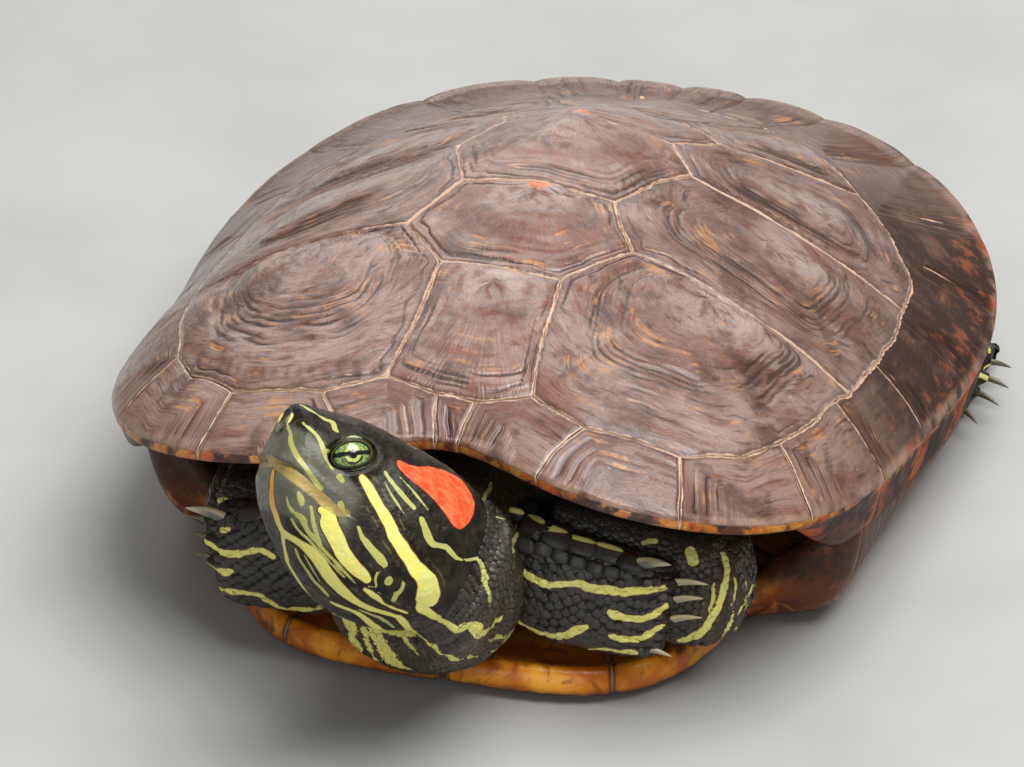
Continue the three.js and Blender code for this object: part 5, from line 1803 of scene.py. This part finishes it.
def rim_colours(f, colour):
    """The free edge of a marginal: darker flanks, partly painted shade, a worn crest, a patchy gold line
    below it and a blotched underside.
    """
    under, fore, crest = f.value("under"), f.value("fore"), f.value("crest")
    blotch = f.noise(7, detail=3, twist=0.8)
    # the flank's marginals darkened in blotches: partly their own dark horn, partly painted shade
    dusk = f.times(f.value("dusk"), f.ease(blotch, 0.75, 0.45, 0.5, 0.97))
    colour = f.blend(dusk, colour, (0.03, 0.012, 0.007))
    ember = f.times(f.value("dusk"), f.ease(f.noise(5, detail=4, rough=0.65), 0.54, 0.66))
    ember = f.times(ember, f.ease(crest, 0.25, 0.75))
    colour = f.blend(f.times(ember, 0.6), colour, (0.3, 0.075, 0.025))
    glow = f.times(f.value("dusk"), f.ease(crest, 0.9, 0.99))
    glow = f.times(glow, f.patches(12, 0.48, 0.56))
    colour = f.blend(f.times(glow, 0.75), colour, (0.42, 0.085, 0.015))
    below = f.blend(f.ease(blotch, 0.44, 0.6), (0.03, 0.012, 0.007), (0.1, 0.035, 0.015))
    wave = f.plus(fore, f.times(f.minus(blotch, 0.5), 0.4))
    near_seams = f.maths("MAXIMUM", f.ease(wave, 0.24, 0.1), f.ease(wave, 0.76, 0.9))
    spotted = f.times(near_seams, f.patches(3.4, 0.4, 0.54))
    below = f.blend(f.times(spotted, 0.9), below, (0.5, 0.1, 0.018))
    just = f.times(f.ease(under, 0.02, 0.06), f.ease(under, 0.3, 0.16))
    gold = f.times(just, f.patches(5.5, 0.45, 0.56))
    amber = f.blend(f.patches(3, 0.4, 0.6), (0.6, 0.3, 0.05), (0.5, 0.13, 0.02))
    below = f.blend(f.times(gold, 0.92), below, amber)
    colour = f.blend(f.ease(under, 0.0, 0.05), colour, below)
    worn = f.times(f.ease(crest, 0.9, 0.99), f.ease(under, 0.06, 0.01))
    worn = f.times(worn, f.patches(5, 0.38, 0.6))
    return f.blend(f.times(worn, 0.5), colour, (0.45, 0.3, 0.2))


def bed_finish(shell):
    """New pale horn at the bottom of the seams."""
    f = Finish("Pale horn in the seams")
    stained = f.ease(f.noise(6, detail=4, rough=0.65), 0.36, 0.62)
    colour = f.blend(stained, shell.seam, (0.2, 0.085, 0.05))
    return f.done(colour, 0.5, f.bump(f.noise(0.6, detail=3), 0.12))


def plastron_finish(plastron):
    """Glossy amber horn with dark smudges, darker seams and dark brown bridges, their darkness partly painted
    shade under the rim.
    """
    f = Finish("Amber horn of the plastron")
    edge, flank, bridge = f.value("edge"), f.value("flank"), f.value("bridge")
    broad = f.noise(17, detail=4, twist=0.7)
    colour = f.blend(f.ease(broad, 0.35, 0.62), plastron.amber, plastron.orange)
    clouds = f.noise(6, detail=4, rough=0.62, twist=1.2)
    colour = f.blend(f.ease(clouds, 0.5, 0.66, 0, 0.8), colour, plastron.rust)
    smudge = f.ease(f.noise(13, detail=4, rough=0.6, twist=0.5), 0.54, 0.68)
    smudge = f.times(smudge, f.ease(flank, 0.95, 0.6))
    colour = f.blend(f.times(smudge, 0.85), colour, (0.03, 0.018, 0.01))
    low = f.times(f.ease(flank, 0.08, 0.2), f.ease(flank, 0.5, 0.38))
    colour = f.blend(f.times(low, f.ease(clouds, 0.26, 0.5)), colour, (0.11, 0.022, 0.006))
    grain = f.noise(0.9, detail=4, rough=0.7)
    colour = f.blend(f.ease(grain, 0.55, 0.75, 0, 0.35), colour, (0.12, 0.04, 0.015))
    # painted shade: the bridges darkened nearly to black over their own dark brown horn, for the shade under
    # the rim
    dusk = f.blend(f.ease(clouds, 0.4, 0.62), (0.022, 0.009, 0.005), (0.08, 0.024, 0.01))
    colour = f.blend(f.times(bridge, 0.97), colour, dusk)
    ember = f.times(bridge, f.ease(f.noise(6, detail=4, rough=0.65), 0.56, 0.66))
    colour = f.blend(f.times(ember, 0.6), colour, (0.26, 0.06, 0.014))
    ragged = f.plus(edge, f.times(f.noise(1.5), 0.5))
    colour = f.blend(f.ease(ragged, 1.3, 0.7, 0, 0.75), colour, (0.05, 0.022, 0.01))
    colour = f.blend(f.ease(ragged, 0.42, 0.3, 0, 0.7), colour, (0.42, 0.26, 0.14))
    normal = f.bump(f.noise(1.4, detail=4), 0.1)
    roughness = f.plus(f.ease(clouds, 0.3, 0.7, 0.2, 0.34), f.times(bridge, 0.3))
    return f.done(colour, roughness, normal, coat_weight=0.1, coat_roughness=0.14, specular_ior_level=0.3)


def skin_finish(name, skin, scaled=False):
    """Black-olive skin with yellow and green stripes, a red ear patch and a horny beak."""
    f = Finish(name)
    yellow, green, patch = f.value("yellow"), f.value("green"), f.value("patch")
    lip, horn, warm = f.value("lip"), f.value("horn"), f.value("warm")
    mottled = f.noise(3.5, detail=4, rough=0.6)
    colour = f.blend(f.ease(mottled, 0.42, 0.62), skin.black, skin.olive)
    flecks = f.noise(0.9, detail=3)
    colour = f.blend(f.ease(flecks, 0.62, 0.76, 0, 0.3), colour, (0.07, 0.065, 0.045))
    if scaled:
        # painted sheen: paler grey on the top of each scale
        colour = f.blend(f.ease(f.value("dome"), 0.6, 1.0, 0, 0.55), colour, (0.055, 0.05, 0.042))
    beak = f.blend(f.patches(4, 0.4, 0.6), (0.14, 0.14, 0.1), (0.18, 0.18, 0.14))
    colour = f.blend(f.times(horn, 0.8), colour, beak)
    worn = f.noise(0.8, f.maths_vector("MULTIPLY", f.place, (1.0, 1.0, 0.35)), detail=3, rough=0.7)
    fold = f.blend(f.ease(worn, 0.52, 0.68, 0, 0.7), (0.045, 0.033, 0.018), (0.2, 0.16, 0.085))
    colour = f.blend(f.times(f.value("soft"), 0.8), colour, fold)
    beside = f.times(f.ease(yellow, -1.5, -1.28), f.ease(yellow, -0.9, -1.1))
    beside = f.times(beside, f.patches(3.5, 0.5, 0.6))
    beside = f.times(beside, f.value("hair"))
    colour = f.blend(f.times(beside, 0.5), colour, (0.17, 0.15, 0.05))
    border = f.ease(yellow, -0.42, -0.2)
    colour = f.blend(f.times(border, f.ease(yellow, 0.02, -0.06)), colour, skin.border)
    lime = f.blend(f.patches(2.2, 0.35, 0.65), skin.yellow, skin.lime)
    lime = f.blend(f.ease(yellow, 0.35, 0.0, 0, 0.5), lime, skin.green)
    lime = f.blend(warm, lime, (0.75, 0.33, 0.03))
    colour = f.blend(f.ease(yellow, -0.06, 0.05), colour, lime)
    colour = f.blend(f.ease(green, -0.07, 0.07, 0, 0.9), colour, skin.green)
    gold = f.blend(f.ease(f.noise(4.5, detail=2), 0.4, 0.62), (0.5, 0.37, 0.11), (0.34, 0.25, 0.08))
    colour = f.blend(f.ease(lip, 0.4, 0.75, 0, 0.85), colour, gold)
    rim_line = f.times(f.ease(patch, -0.55, -0.2), f.ease(patch, 0.05, -0.05))
    colour = f.blend(f.times(rim_line, 0.8), colour, (0.02, 0.012, 0.01))
    grain = f.noise(1.6, f.maths_vector("MULTIPLY", f.place, (0.5, 1.4, 1.0)), detail=3)
    red = f.blend(f.ease(grain, 0.35, 0.68), skin.red, (0.88, 0.17, 0.055))
    colour = f.blend(f.ease(patch, -0.12, 0.1), colour, red)
    pebbles = f.pebbles(0.85)
    normal = f.bump(f.minus(1.0, pebbles), 0.1 if scaled else 0.13)
    normal = f.bump(f.noise(0.35, detail=3), 0.05, normal)
    if scaled:
        # painted shade: each scale's edge, where it tucks under the next, darkened nearly to black
        edge = f.ease(f.value("dome"), 0.35, -0.2, 0, 0.7)
        colour = f.blend(edge, colour, (0.012, 0.01, 0.008))
    roughness = f.patches(1.5, 0.35, 0.65, 0.3, 0.5)
    roughness = f.minus(roughness, f.times(horn, 0.16))
    coat, specular = (0.14, 0.4) if scaled else (0.04, 0.22)
    return f.done(
        colour, roughness, normal, coat_weight=coat, coat_roughness=0.2, specular_ior_level=specular)


def eye_finish():
    """Wet green eye with a dark level bar and a round pupil."""
    f = Finish("Wet green eye")
    level, up = f.value("level"), f.value("up")
    reach = f.maths("SQRT", f.plus(f.times(level, level), f.times(up, up)))
    speck = f.noise(0.55, detail=3)
    ripple = f.times(f.minus(f.noise(0.9, detail=2), 0.5), 0.8)
    iris = f.blend(f.ease(speck, 0.4, 0.62), (0.09, 0.16, 0.05), (0.34, 0.45, 0.13))
    ring = f.plus(reach, ripple)
    glow = f.times(f.ease(ring, 0.95, 1.15), f.ease(ring, 1.9, 1.5))
    iris = f.blend(f.times(glow, 0.9), iris, (0.6, 0.66, 0.15))
    arc = f.times(f.ease(ring, 1.75, 1.9), f.ease(ring, 2.35, 2.15))
    low = f.ease(up, -0.3, -0.9)
    iris = f.blend(f.times(arc, low), iris, (0.012, 0.02, 0.008))
    off_bar = f.maths("ABSOLUTE", f.minus(up, 0.1))
    bar_wave = f.plus(off_bar, f.times(ripple, 0.7))
    bar = f.times(f.ease(bar_wave, 0.56, 0.4), f.ease(reach, 5.0, 4.6))
    colour = f.blend(bar, iris, (0.004, 0.005, 0.004))
    colour = f.blend(f.ease(reach, 1.0, 0.86), colour, (0.002, 0.002, 0.002))
    colour = f.blend(f.ease(reach, 4.2, 4.9), colour, (0.012, 0.016, 0.01))
    return f.done(colour, 0.16, coat_weight=1.0, coat_roughness=0.03, coat_ior=1.45)


def claw_finish():
    """Grey horn paling to cream at the tip."""
    f = Finish("Claw horn")
    along_claw = f.value("along")
    grain = f.noise(0.6, detail=3)
    mixed = f.plus(along_claw, f.times(f.minus(grain, 0.5), 0.25))
    colour = f.blend(f.ease(mixed, 0.35, 0.9), (0.11, 0.11, 0.105), (0.5, 0.44, 0.27))
    colour = f.blend(f.ease(f.value("above"), 0.25, 0.8, 0, 0.85), colour, (0.78, 0.68, 0.38))
    colour = f.blend(f.times(f.value("slim"), 0.6), colour, (0.4, 0.35, 0.16))
    # painted shade: the claws tucked under the shell and behind the head darkened
    colour = f.blend(f.value("dark"), colour, (0.03, 0.026, 0.02))
    return f.done(colour, 0.34, f.bump(grain, 0.05), coat_weight=0.3, coat_roughness=0.2)


# ------------------------------------------------------------------------------------------
# Settings


def colour_setting(name, description, default):
    return FloatVectorProperty(
        name=name, description=description, default=default, subtype="COLOR", min=0, max=1)


class TurtleShellSettings(PropertyGroup):
    seam_width: FloatProperty(
        name="Seam width", description="Half the pale gap between two scutes", default=0.0002, min=0.00005,
        max=0.002, unit="LENGTH")
    relief: FloatProperty(
        name="Relief", description="How strongly the growth rings stand out", default=1.0, min=0.0, max=2.0,
        subtype="FACTOR")
    brown: colour_setting("Brown", "Main horn colour", (0.15, 0.06, 0.038))
    mauve: colour_setting("Mauve", "Paler horn colour", (0.3, 0.19, 0.155))
    red: colour_setting("Red brown", "Warm patches", (0.18, 0.058, 0.03))
    dark: colour_setting("Dark", "Dark patches", (0.04, 0.015, 0.009))
    rust: colour_setting("Rust", "Streaks of old horn", (0.28, 0.085, 0.035))
    orange: colour_setting("Orange", "Worn flecks", (0.6, 0.26, 0.07))
    seam: colour_setting("Seam", "New horn in the seams", (0.7, 0.47, 0.32))


class TurtlePlastronSettings(PropertyGroup):
    amber: colour_setting("Amber", "Lighter horn", (0.86, 0.36, 0.025))
    orange: colour_setting("Orange", "Main horn", (0.5, 0.12, 0.006))
    rust: colour_setting("Rust", "Darker clouds", (0.26, 0.06, 0.008))


class TurtleSkinSettings(PropertyGroup):
    black: colour_setting("Black", "Darkest skin", (0.009, 0.0072, 0.0045))
    olive: colour_setting("Olive", "Lighter dark skin", (0.026, 0.021, 0.012))
    yellow: colour_setting("Yellow", "Broad stripes", (0.8, 0.73, 0.16))
    lime: colour_setting("Lime", "Greener stretches of the stripes", (0.72, 0.73, 0.23))
    green: colour_setting("Green", "Thin lines", (0.5, 0.5, 0.14))
    border: colour_setting("Border", "Edge of the stripes", (0.07, 0.02, 0.01))
    red: colour_setting("Red", "Ear patch", (0.8, 0.07, 0.02))


class TurtleStageSettings(PropertyGroup):
    focal_length: FloatProperty(
        name="Focal length", description="Camera lens", default=231.1, min=20, max=400, unit="CAMERA")
    key_light: FloatProperty(
        name="Key light", description="Strength of the large soft light", default=20.0, min=0, max=500,
        unit="POWER")
    fill_light: FloatProperty(
        name="Fill light", description="Strength of the front light, and half that of the back light",
        default=3.0, min=0, max=500, unit="POWER")
    sky: FloatProperty(
        name="Sky", description="Strength of the light from all round", default=0.22, min=0, max=5)


# ------------------------------------------------------------------------------------------
# Operators


# How deep the bed of pale horn lies under the plates, how much deeper at the rim, and where it ends
BED_DEPTH = 0.66
BED_EDGE_DROP = 0.6
BED_EDGE = 0.992


class TURTLE_OT_shell_bed(Operator):
    """Build the pale horn that shows in the seams of the back"""

    bl_idname = "turtle.shell_bed"
    bl_label = "Seam bed"

    def execute(self, context):
        angle = turns(220)
        rows = []
        for r in np.linspace(0.01, BED_EDGE, 70):
            x, y, _ = shell_point(angle, carapace_radius(angle, r), 0).T
            depth = BED_DEPTH + BED_EDGE_DROP * smooth(0.9, BED_EDGE, r)
            base = np.stack([x, y, dome(x, y) + keel(x, y)], -1)
            rows.append(base - dome_normal(x, y) * depth)
        rows = np.array(rows)
        surface = Surface()
        surface.add(rows, grid_faces(len(rows), len(angle), closed=True))
        obj = surface.build("shell_seams", bed_finish(context.scene.turtle_shell), heart=(0, 0, 0))
        settle(obj, [])
        return {"FINISHED"}


class TURTLE_OT_back_scutes(Operator):
    """Build the vertebral and costal scutes"""

    bl_idname = "turtle.back_scutes"
    bl_label = "Scutes of the back"

    def execute(self, context):
        settings = context.scene.turtle_shell
        finish = horn_finish("Brown horn of the back", settings)
        seam = settings.seam_width / MM
        for name, half in CENTRAL_SCUTES.items():
            surface = plate(name, both_sides(half), AREOLAS[name], VERTEBRAL_RINGS, seam, settings.relief)
            obj = surface.build("scute_" + name, finish, heart=(0, 0, 0))
            settle(obj, [name])
        for name, outline in COSTALS.items():
            for label, side in SIDES:
                edge = outline if side > 0 else mirrored(outline)
                x, y = AREOLAS[name]
                surface = plate(name, edge, (x * side, y), COSTAL_RINGS, seam, settings.relief, side)
                obj = surface.build(f"scute_{name}_{label}", finish, heart=(0, 0, 0))
                settle(obj, [f"{name}_{label}"])
        return {"FINISHED"}


class TURTLE_OT_marginals(Operator):
    """Build the scutes of the rim, with their dark undersides"""

    bl_idname = "turtle.marginals"
    bl_label = "Scutes of the rim"

    def execute(self, context):
        settings = context.scene.turtle_shell
        finish = horn_finish("Brown horn of the rim", settings, rim=True)
        flank_finish = horn_finish(
            "Duller horn of the rim's flanks", settings, rim=True, coat=0.04, specular=0.22)
        seam = settings.seam_width / MM
        surface = marginal(MARGINAL_SEAMS[0], None, 1, seam, settings.relief, 5, midline=True)
        obj = surface.build("scute_nuchal", finish, heart=(0, 0, 30))
        settle(obj, ["nuchal"])
        for label, side in SIDES:
            for number, (start, end) in enumerate(zip(MARGINAL_SEAMS, MARGINAL_SEAMS[1:]), 1):
                surface = marginal(start, end, side, seam, settings.relief, number * 7 + (side < 0))
                middle = surface.points[0][: len(surface.points[0]) // 2].mean(axis=0)
                horn = flank_finish if side > 0 and number in DULL_MARGINALS else finish
                name = f"scute_marginal_{number}_{label}"
                obj = surface.build(name, horn, heart=middle * (0.8, 0.8, 0.7))
                settle(obj, [f"marginals_{label}"])
        return {"FINISHED"}


class TURTLE_OT_plastron(Operator):
    """Build the twelve scutes of the plastron"""

    bl_idname = "turtle.plastron"
    bl_label = "Plastron"

    def execute(self, context):
        settings = context.scene.turtle_shell
        finish = plastron_finish(context.scene.turtle_plastron)
        seam = settings.seam_width / MM
        for index, name in enumerate(PLASTRON_NAMES):
            for label, side in SIDES:
                surface = plastral(index, side, seam * 0.7, index * 11 + (side < 0))
                middle = (0, surface.points[0][:, 1].mean(), 9)
                obj = surface.build(f"plastral_{name}_{label}", finish, heart=middle)
                settle(obj, [name])
        return {"FINISHED"}


LIMB_PARTS = ("upper_arm", "forearm", "hand", "thigh", "shank", "foot")
FLESH = ["head", "lower_jaw", "neck", "trunk", "tail"]
FLESH += [f"{part}_{label}" for part in LIMB_PARTS for label, _ in SIDES]


class TURTLE_OT_skin(Operator):
    """Build the skin of the head, neck, limbs, tail and trunk, then the scales on the neck and limbs"""

    bl_idname = "turtle.skin"
    bl_label = "Skin and scales"

    def execute(self, context):
        settings = context.scene.turtle_skin
        finish = skin_finish("Striped skin", settings)
        points, faces, marks = head_and_neck()
        quads = faces[0]
        tree = BVHTree.FromPolygons(points.tolist(), quads.tolist())
        surface = Surface()
        surface.add(points, faces, **marks)
        for _, side in SIDES:
            ring, ring_faces = lids(tree, side)
            flat = ring.reshape(-1, 3)
            reach = eye_reach(flat, side)
            outer = smooth(1.2, 1.5, reach)
            values = {}
            for name, value in self.nearest_marks(tree, quads, marks, flat).items():
                none = -9.0 if name in ("yellow", "green", "patch") else 0.0
                values[name] = mix(none, value, outer)
            fine = 0.05 * np.sin(reach * 36 + 1.2 * noise(flat, 2.5, 57)) - 0.065
            values["green"] = np.maximum(values["green"], np.where(reach < 1.6, fine, -9))
            surface.add(ring, ring_faces, **values)
        limbs, body = limbs_and_trunk()
        surface.add(*limbs[:2], **limbs[2])
        surface.add(*body[:2], **body[2])
        obj = surface.build("skin", finish)
        settle(obj, FLESH)
        scaled = skin_finish("Striped scales", settings, scaled=True)
        self.neck_scales(scaled, tree, quads, marks)
        self.limb_scales(scaled, limbs)
        return {"FINISHED"}

    @staticmethod
    def nearest_marks(tree, quads, marks, points):
        """The skin's markings, read where each point lies nearest to it."""
        near = np.array([tree.find_nearest(Vector(p))[2] for p in points])
        return {name: value[quads[near, 0]] for name, value in marks.items()}

    def neck_scales(self, finish, tree, quads, marks):
        """Small round scales over the neck and throat."""
        dice = np.random.default_rng(3)
        sites = []
        patches = []
        for row, s in enumerate(np.arange(NECK_SCALES_FROM, 84, NECK_SCALE_ROWS)):
            loop = on_head(np.full(97, s), np.linspace(-180, 180, 97))
            number = int(run_along(loop)[-1] / NECK_SCALE)
            turn = (np.arange(number) + 0.5 * (row % 2) + dice.uniform(-0.2, 0.2, number)) / number
            here = on_head(np.full(number, s), turn * 360 - 180)
            lie = on_head(np.full(number, s + 1.0), turn * 360 - 180) - here
            for k in range(number):
                place, normal, _, _ = tree.find_nearest(Vector(here[k]))
                size = NECK_SCALE * dice.uniform(0.85, 1.15)
                sites.append((place, normal, lie[k], size * 1.05, size * 1.15, 0.2))
                patches.append((0.02 + 0.95 * turn[k] % 1.0, 0.02 + 0.95 * (s - NECK_SCALES_FROM) / 40))
        surface = Surface()
        add_scales(surface, sites, patches)
        surface.mark(self.nearest_marks(tree, quads, marks, surface.array()))
        obj = surface.build("neck_scales", finish)
        with_bake_map(obj, surface)
        settle(obj, [])

    def limb_scales(self, finish, limbs):
        """Overlapping scales on the limbs: large on the leading edge of the forearm, fine elsewhere."""
        points, quads, _ = limbs
        tree = BVHTree.FromPolygons(points.tolist(), quads.tolist())
        dice = np.random.default_rng(7)
        for label, side in SIDES:
            limb_sets = {
                "arm": ((arm_to_side(FOREARM, side), 0.0, 2.0), (upper_arm(side), 0.15, 1.5)),
                "leg": ((to_side(HIND_LEG + FOOT[2:4], side), 0.1, 2.2),),
            }
            for limb, parts in limb_sets.items():
                sites = []
                patches = []
                for number, (stations, rows_from, pitch) in enumerate(parts):
                    self.rows_of_scales(tree, dice, stations, rows_from, pitch, 0.45 * number, sites, patches)
                surface = Surface()
                add_scales(surface, sites, patches)
                small = surface.count
                capped = self.large_plates(surface, tree, side) if limb == "arm" else None
                marks = limb_markings(surface.array())
                if capped is not None:
                    marks["yellow"][small:] = np.maximum(marks["yellow"][small:], capped)
                surface.mark(marks)
                obj = surface.build(f"scales_{limb}_{label}", finish)
                with_bake_map(obj, surface)
                settle(obj, [])

    @staticmethod
    def rows_of_scales(tree, dice, stations, rows_from, pitch, chart_from, sites, patches):
        """Rings of scales along one part of a limb."""
        line = curve_through(stations, 8)
        run = run_along(line[:, :3])
        total = run[-1]
        direction = unit(np.gradient(line[:, :3], axis=0))
        for step, far in enumerate(np.arange(rows_from * total, total - 1.0, pitch * 0.8)):
            here = read_at(far, run, line)
            ahead = unit(read_at(far, run, direction))
            level = unit(np.cross([0, 0.05, 1.0], ahead))
            top = np.cross(ahead, level)
            around = 2 * math.pi * math.sqrt((here[3] ** 2 + here[4] ** 2) / 2)
            number = max(6, int(around / pitch))
            for k in range(number):
                turn = 2 * math.pi * (k + 0.5 * (step % 2) + dice.uniform(-0.15, 0.15)) / number
                probe = here[:3] + level * here[3] * math.cos(turn) + top * here[4] * math.sin(turn)
                place, normal, _, gap = tree.find_nearest(Vector(probe))
                # none where one limb is inside another, nor on the soles
                if gap > FURTHEST_ROOT or (place.z < SOLE_HEIGHT and normal.z < 0):
                    continue
                size = pitch * dice.uniform(0.88, 1.12)
                sites.append((place, normal, ahead, size * 1.1, size * 1.25, 0.13 * pitch))
                patches.append((0.02 + chart_from + 0.42 * far / total, 0.02 + 0.9 * (k + 0.5) / number))

    @staticmethod
    def large_plates(plates, tree, side):
        """The smooth plates on a forearm's leading edge; gives how far each point is in a yellow cap."""
        capped = []
        for row, (stations, upper) in enumerate(((LEADING_PLATES, True), (SECOND_ROW, False))):
            placed = np.array(arm_to_side(stations, side))
            lie = np.gradient(placed[:, :3], axis=0)
            sites = []
            patches = []
            for number, (*at, length, tall) in enumerate(placed):
                place, normal, _, _ = tree.find_nearest(Vector(at))
                sites.append((place, normal, lie[number], tall, length, LARGE_PLATE_THICK))
                patches.append((0.93, 0.03 + 0.05 * number + 0.4 * row))
            before = plates.count
            add_scales(plates, sites, patches, sides=28, square=3.2, section=LARGE_SCALE)
            points = plates.array()[before:].reshape(len(sites), -1, 3)
            high = points[..., 2] - placed[:, None, 2]
            forward = (points[..., 0] - placed[:, None, 0]) * side
            cap = high - 0.31 * placed[:, None, 4] + 0.1 * forward
            capped.append(np.where(upper, cap, -9.0).ravel())
        return np.concatenate(capped)


class TURTLE_OT_eyes(Operator):
    """Build both eyes"""

    bl_idname = "turtle.eyes"
    bl_label = "Eyes"

    def execute(self, context):
        finish = eye_finish()
        for label, side in SIDES:
            gaze, level, up = eye_axes(side)
            lean = np.linspace(0.01, math.pi - 0.01, 60)[:, None]
            turn = turns(96)
            cornea = 1 + 0.035 * bump(lean, 0, 0.55)
            radius = (EYE_RADIUS - 0.12) * cornea
            across = radius * np.sin(lean) * np.cos(turn)
            height = radius * np.sin(lean) * np.sin(turn)
            out = radius * np.cos(lean) * gaze
            rings = eye_centre(side) + across[..., None] * level + height[..., None] * up + out[:, None]
            tips = (eye_centre(side) + gaze * radius[0], eye_centre(side) - gaze * radius[-1])
            surface = Surface()
            points, faces = closed_body(rings, *tips)
            surface.add(points, faces, level=np.append(across, [0, 0]), up=np.append(height, [0, 0]))
            obj = surface.build(f"eyeball_{label}", finish)
            settle(obj, [f"eye_{label}"])
        return {"FINISHED"}


class TURTLE_OT_claws(Operator):
    """Build the claws of all four feet"""

    bl_idname = "turtle.claws"
    bl_label = "Claws"

    def execute(self, context):
        finish = claw_finish()
        for label, side in SIDES:
            toes = [to_side(line, side) for line in TOES]
            for foot, digits in (("fore", fingers(side)), ("hind", toes)):
                surface = Surface()
                for number, line in enumerate(digits):
                    first = foot == "fore" and number == 0
                    radius, start = (1.5, 0.2) if first else (0.85, 0.8)
                    # the claws behind the head and those of the hind feet are shorter, and painted darker for
                    # the shade they lie in
                    hidden = foot == "fore" and side < 0 and not first
                    tucked_in_shade = hidden or foot == "hind"
                    points, t = claw(line, radius, start, 0.6 if hidden else 0.85 if tucked_in_shade else 1.0)
                    rows, sides = points.shape[:2]
                    lift = (points[..., 2] - points[..., 2].mean(axis=1, keepdims=True)) / radius
                    points[..., 2] = np.maximum(points[..., 2], 0.1)
                    tip = points[-1].mean(axis=0)
                    cap = cone_faces((rows - 1) * sides, sides, rows * sides)
                    surface.add(
                        np.vstack([points.reshape(-1, 3), tip]), [grid_faces(rows, sides, closed=True), cap],
                        along=np.append(np.repeat(t, sides), 1.0), above=np.append(lift.ravel(), 0.0),
                        dark=0.8 if tucked_in_shade else 0.0, slim=0.0 if first else 1.0)
                obj = surface.build(f"claws_{foot}_{label}", finish)
                settle(obj, [])
        return {"FINISHED"}


CAMERA_AT = (0.310209, -1.255093, 0.763326)
CAMERA_AIM = (-0.00853, -0.01385, 0.02498)
CAMERA_ROLL = 0.706
FLOOR_HALF = 3000.0


class TURTLE_OT_stage(Operator):
    """Add the pale floor, the soft lights and the camera"""

    bl_idname = "turtle.stage"
    bl_label = "Stage"

    def execute(self, context):
        settings = context.scene.turtle_stage
        self.floor()
        self.light("Key", (0.34, -0.2, 1.15), (0, 0, 0.04), 1.0, settings.key_light)
        self.light("Back", (-0.3, 0.95, 0.75), (0, 0, 0.05), 1.2, settings.fill_light * 2)
        self.light("Front", (0.1, -1.3, 0.5), (0, -0.1, 0.05), 0.9, settings.fill_light)
        world = bpy.data.worlds.new("Soft sky")
        world.use_nodes = True
        background = world.node_tree.nodes["Background"]
        background.inputs["Color"].default_value = (1.0, 0.97, 0.93, 1.0)
        background.inputs["Strength"].default_value = settings.sky
        context.scene.world = world
        camera = bpy.data.objects.new("Camera", bpy.data.cameras.new("Camera"))
        camera.data.lens = settings.focal_length
        camera.data.sensor_width = 36.0
        camera.data.clip_end = 20.0
        place, aim = Vector(CAMERA_AT), Vector(CAMERA_AIM)
        turn = (aim - place).to_track_quat("-Z", "Y").to_matrix().to_4x4()
        roll = Matrix.Rotation(math.radians(CAMERA_ROLL), 4, "Z")
        camera.matrix_world = Matrix.Translation(place) @ turn @ roll
        context.scene.collection.objects.link(camera)
        context.scene.camera = camera
        context.scene.view_settings.view_transform = "Standard"
        return {"FINISHED"}

    @staticmethod
    def floor():
        f = Finish("Pale floor")
        colour = f.blend(f.patches(60, 0.3, 0.7), (0.4, 0.4, 0.39), (0.44, 0.44, 0.43))
        material = f.done(colour, 0.7, f.bump(f.noise(1.5, detail=3), 0.05))
        surface = Surface()
        corners = np.array([(-1, -1, 0), (1, -1, 0), (1, 1, 0), (-1, 1, 0)])
        surface.add(corners * FLOOR_HALF, np.array([[0, 1, 2, 3]]))
        floor = surface.build("floor", material, heart=(0, 0, -100))

    @staticmethod
    def light(name, place, aim, size, power):
        data = bpy.data.lights.new(name, "AREA")
        data.shape = "DISK"
        data.size = size
        data.energy = power
        light = bpy.data.objects.new(name, data)
        light.location = place
        light.rotation_euler = (Vector(aim) - Vector(place)).to_track_quat("-Z", "Y").to_euler()
        bpy.context.scene.collection.objects.link(light)


OPERATORS = (
    TURTLE_OT_stage, TURTLE_OT_shell_bed, TURTLE_OT_back_scutes, TURTLE_OT_marginals, TURTLE_OT_plastron,
    TURTLE_OT_skin, TURTLE_OT_eyes, TURTLE_OT_claws,
)
SETTINGS = {
    "turtle_shell": TurtleShellSettings,
    "turtle_plastron": TurtlePlastronSettings,
    "turtle_skin": TurtleSkinSettings,
    "turtle_stage": TurtleStageSettings,
}


class TURTLE_PT_panel(Panel):
    """Lists the pieces and their settings"""

    bl_idname = "TURTLE_PT_panel"
    bl_label = "Red-eared slider"
    bl_space_type = "VIEW_3D"
    bl_region_type = "UI"
    bl_category = "Turtle"

    def draw(self, context):
        for operator in OPERATORS:
            self.layout.operator(operator.bl_idname)
        for name, group in SETTINGS.items():
            box = self.layout.box()
            for key in group.__annotations__:
                box.prop(getattr(context.scene, name), key)


def register():
    for group in SETTINGS.values():
        bpy.utils.register_class(group)
    for operator in OPERATORS:
        bpy.utils.register_class(operator)
    bpy.utils.register_class(TURTLE_PT_panel)
    for name, group in SETTINGS.items():
        setattr(bpy.types.Scene, name, PointerProperty(type=group))


def unregister():
    for name in SETTINGS:
        delattr(bpy.types.Scene, name)
    bpy.utils.unregister_class(TURTLE_PT_panel)
    for operator in reversed(OPERATORS):
        bpy.utils.unregister_class(operator)
    for group in reversed(SETTINGS.values()):
        bpy.utils.unregister_class(group)


def main():
    """Builds everything in order."""
    register()
    for operator in OPERATORS:
        family, name = operator.bl_idname.split(".")
        getattr(getattr(bpy.ops, family), name)()


if __name__ == "__main__":
    main()
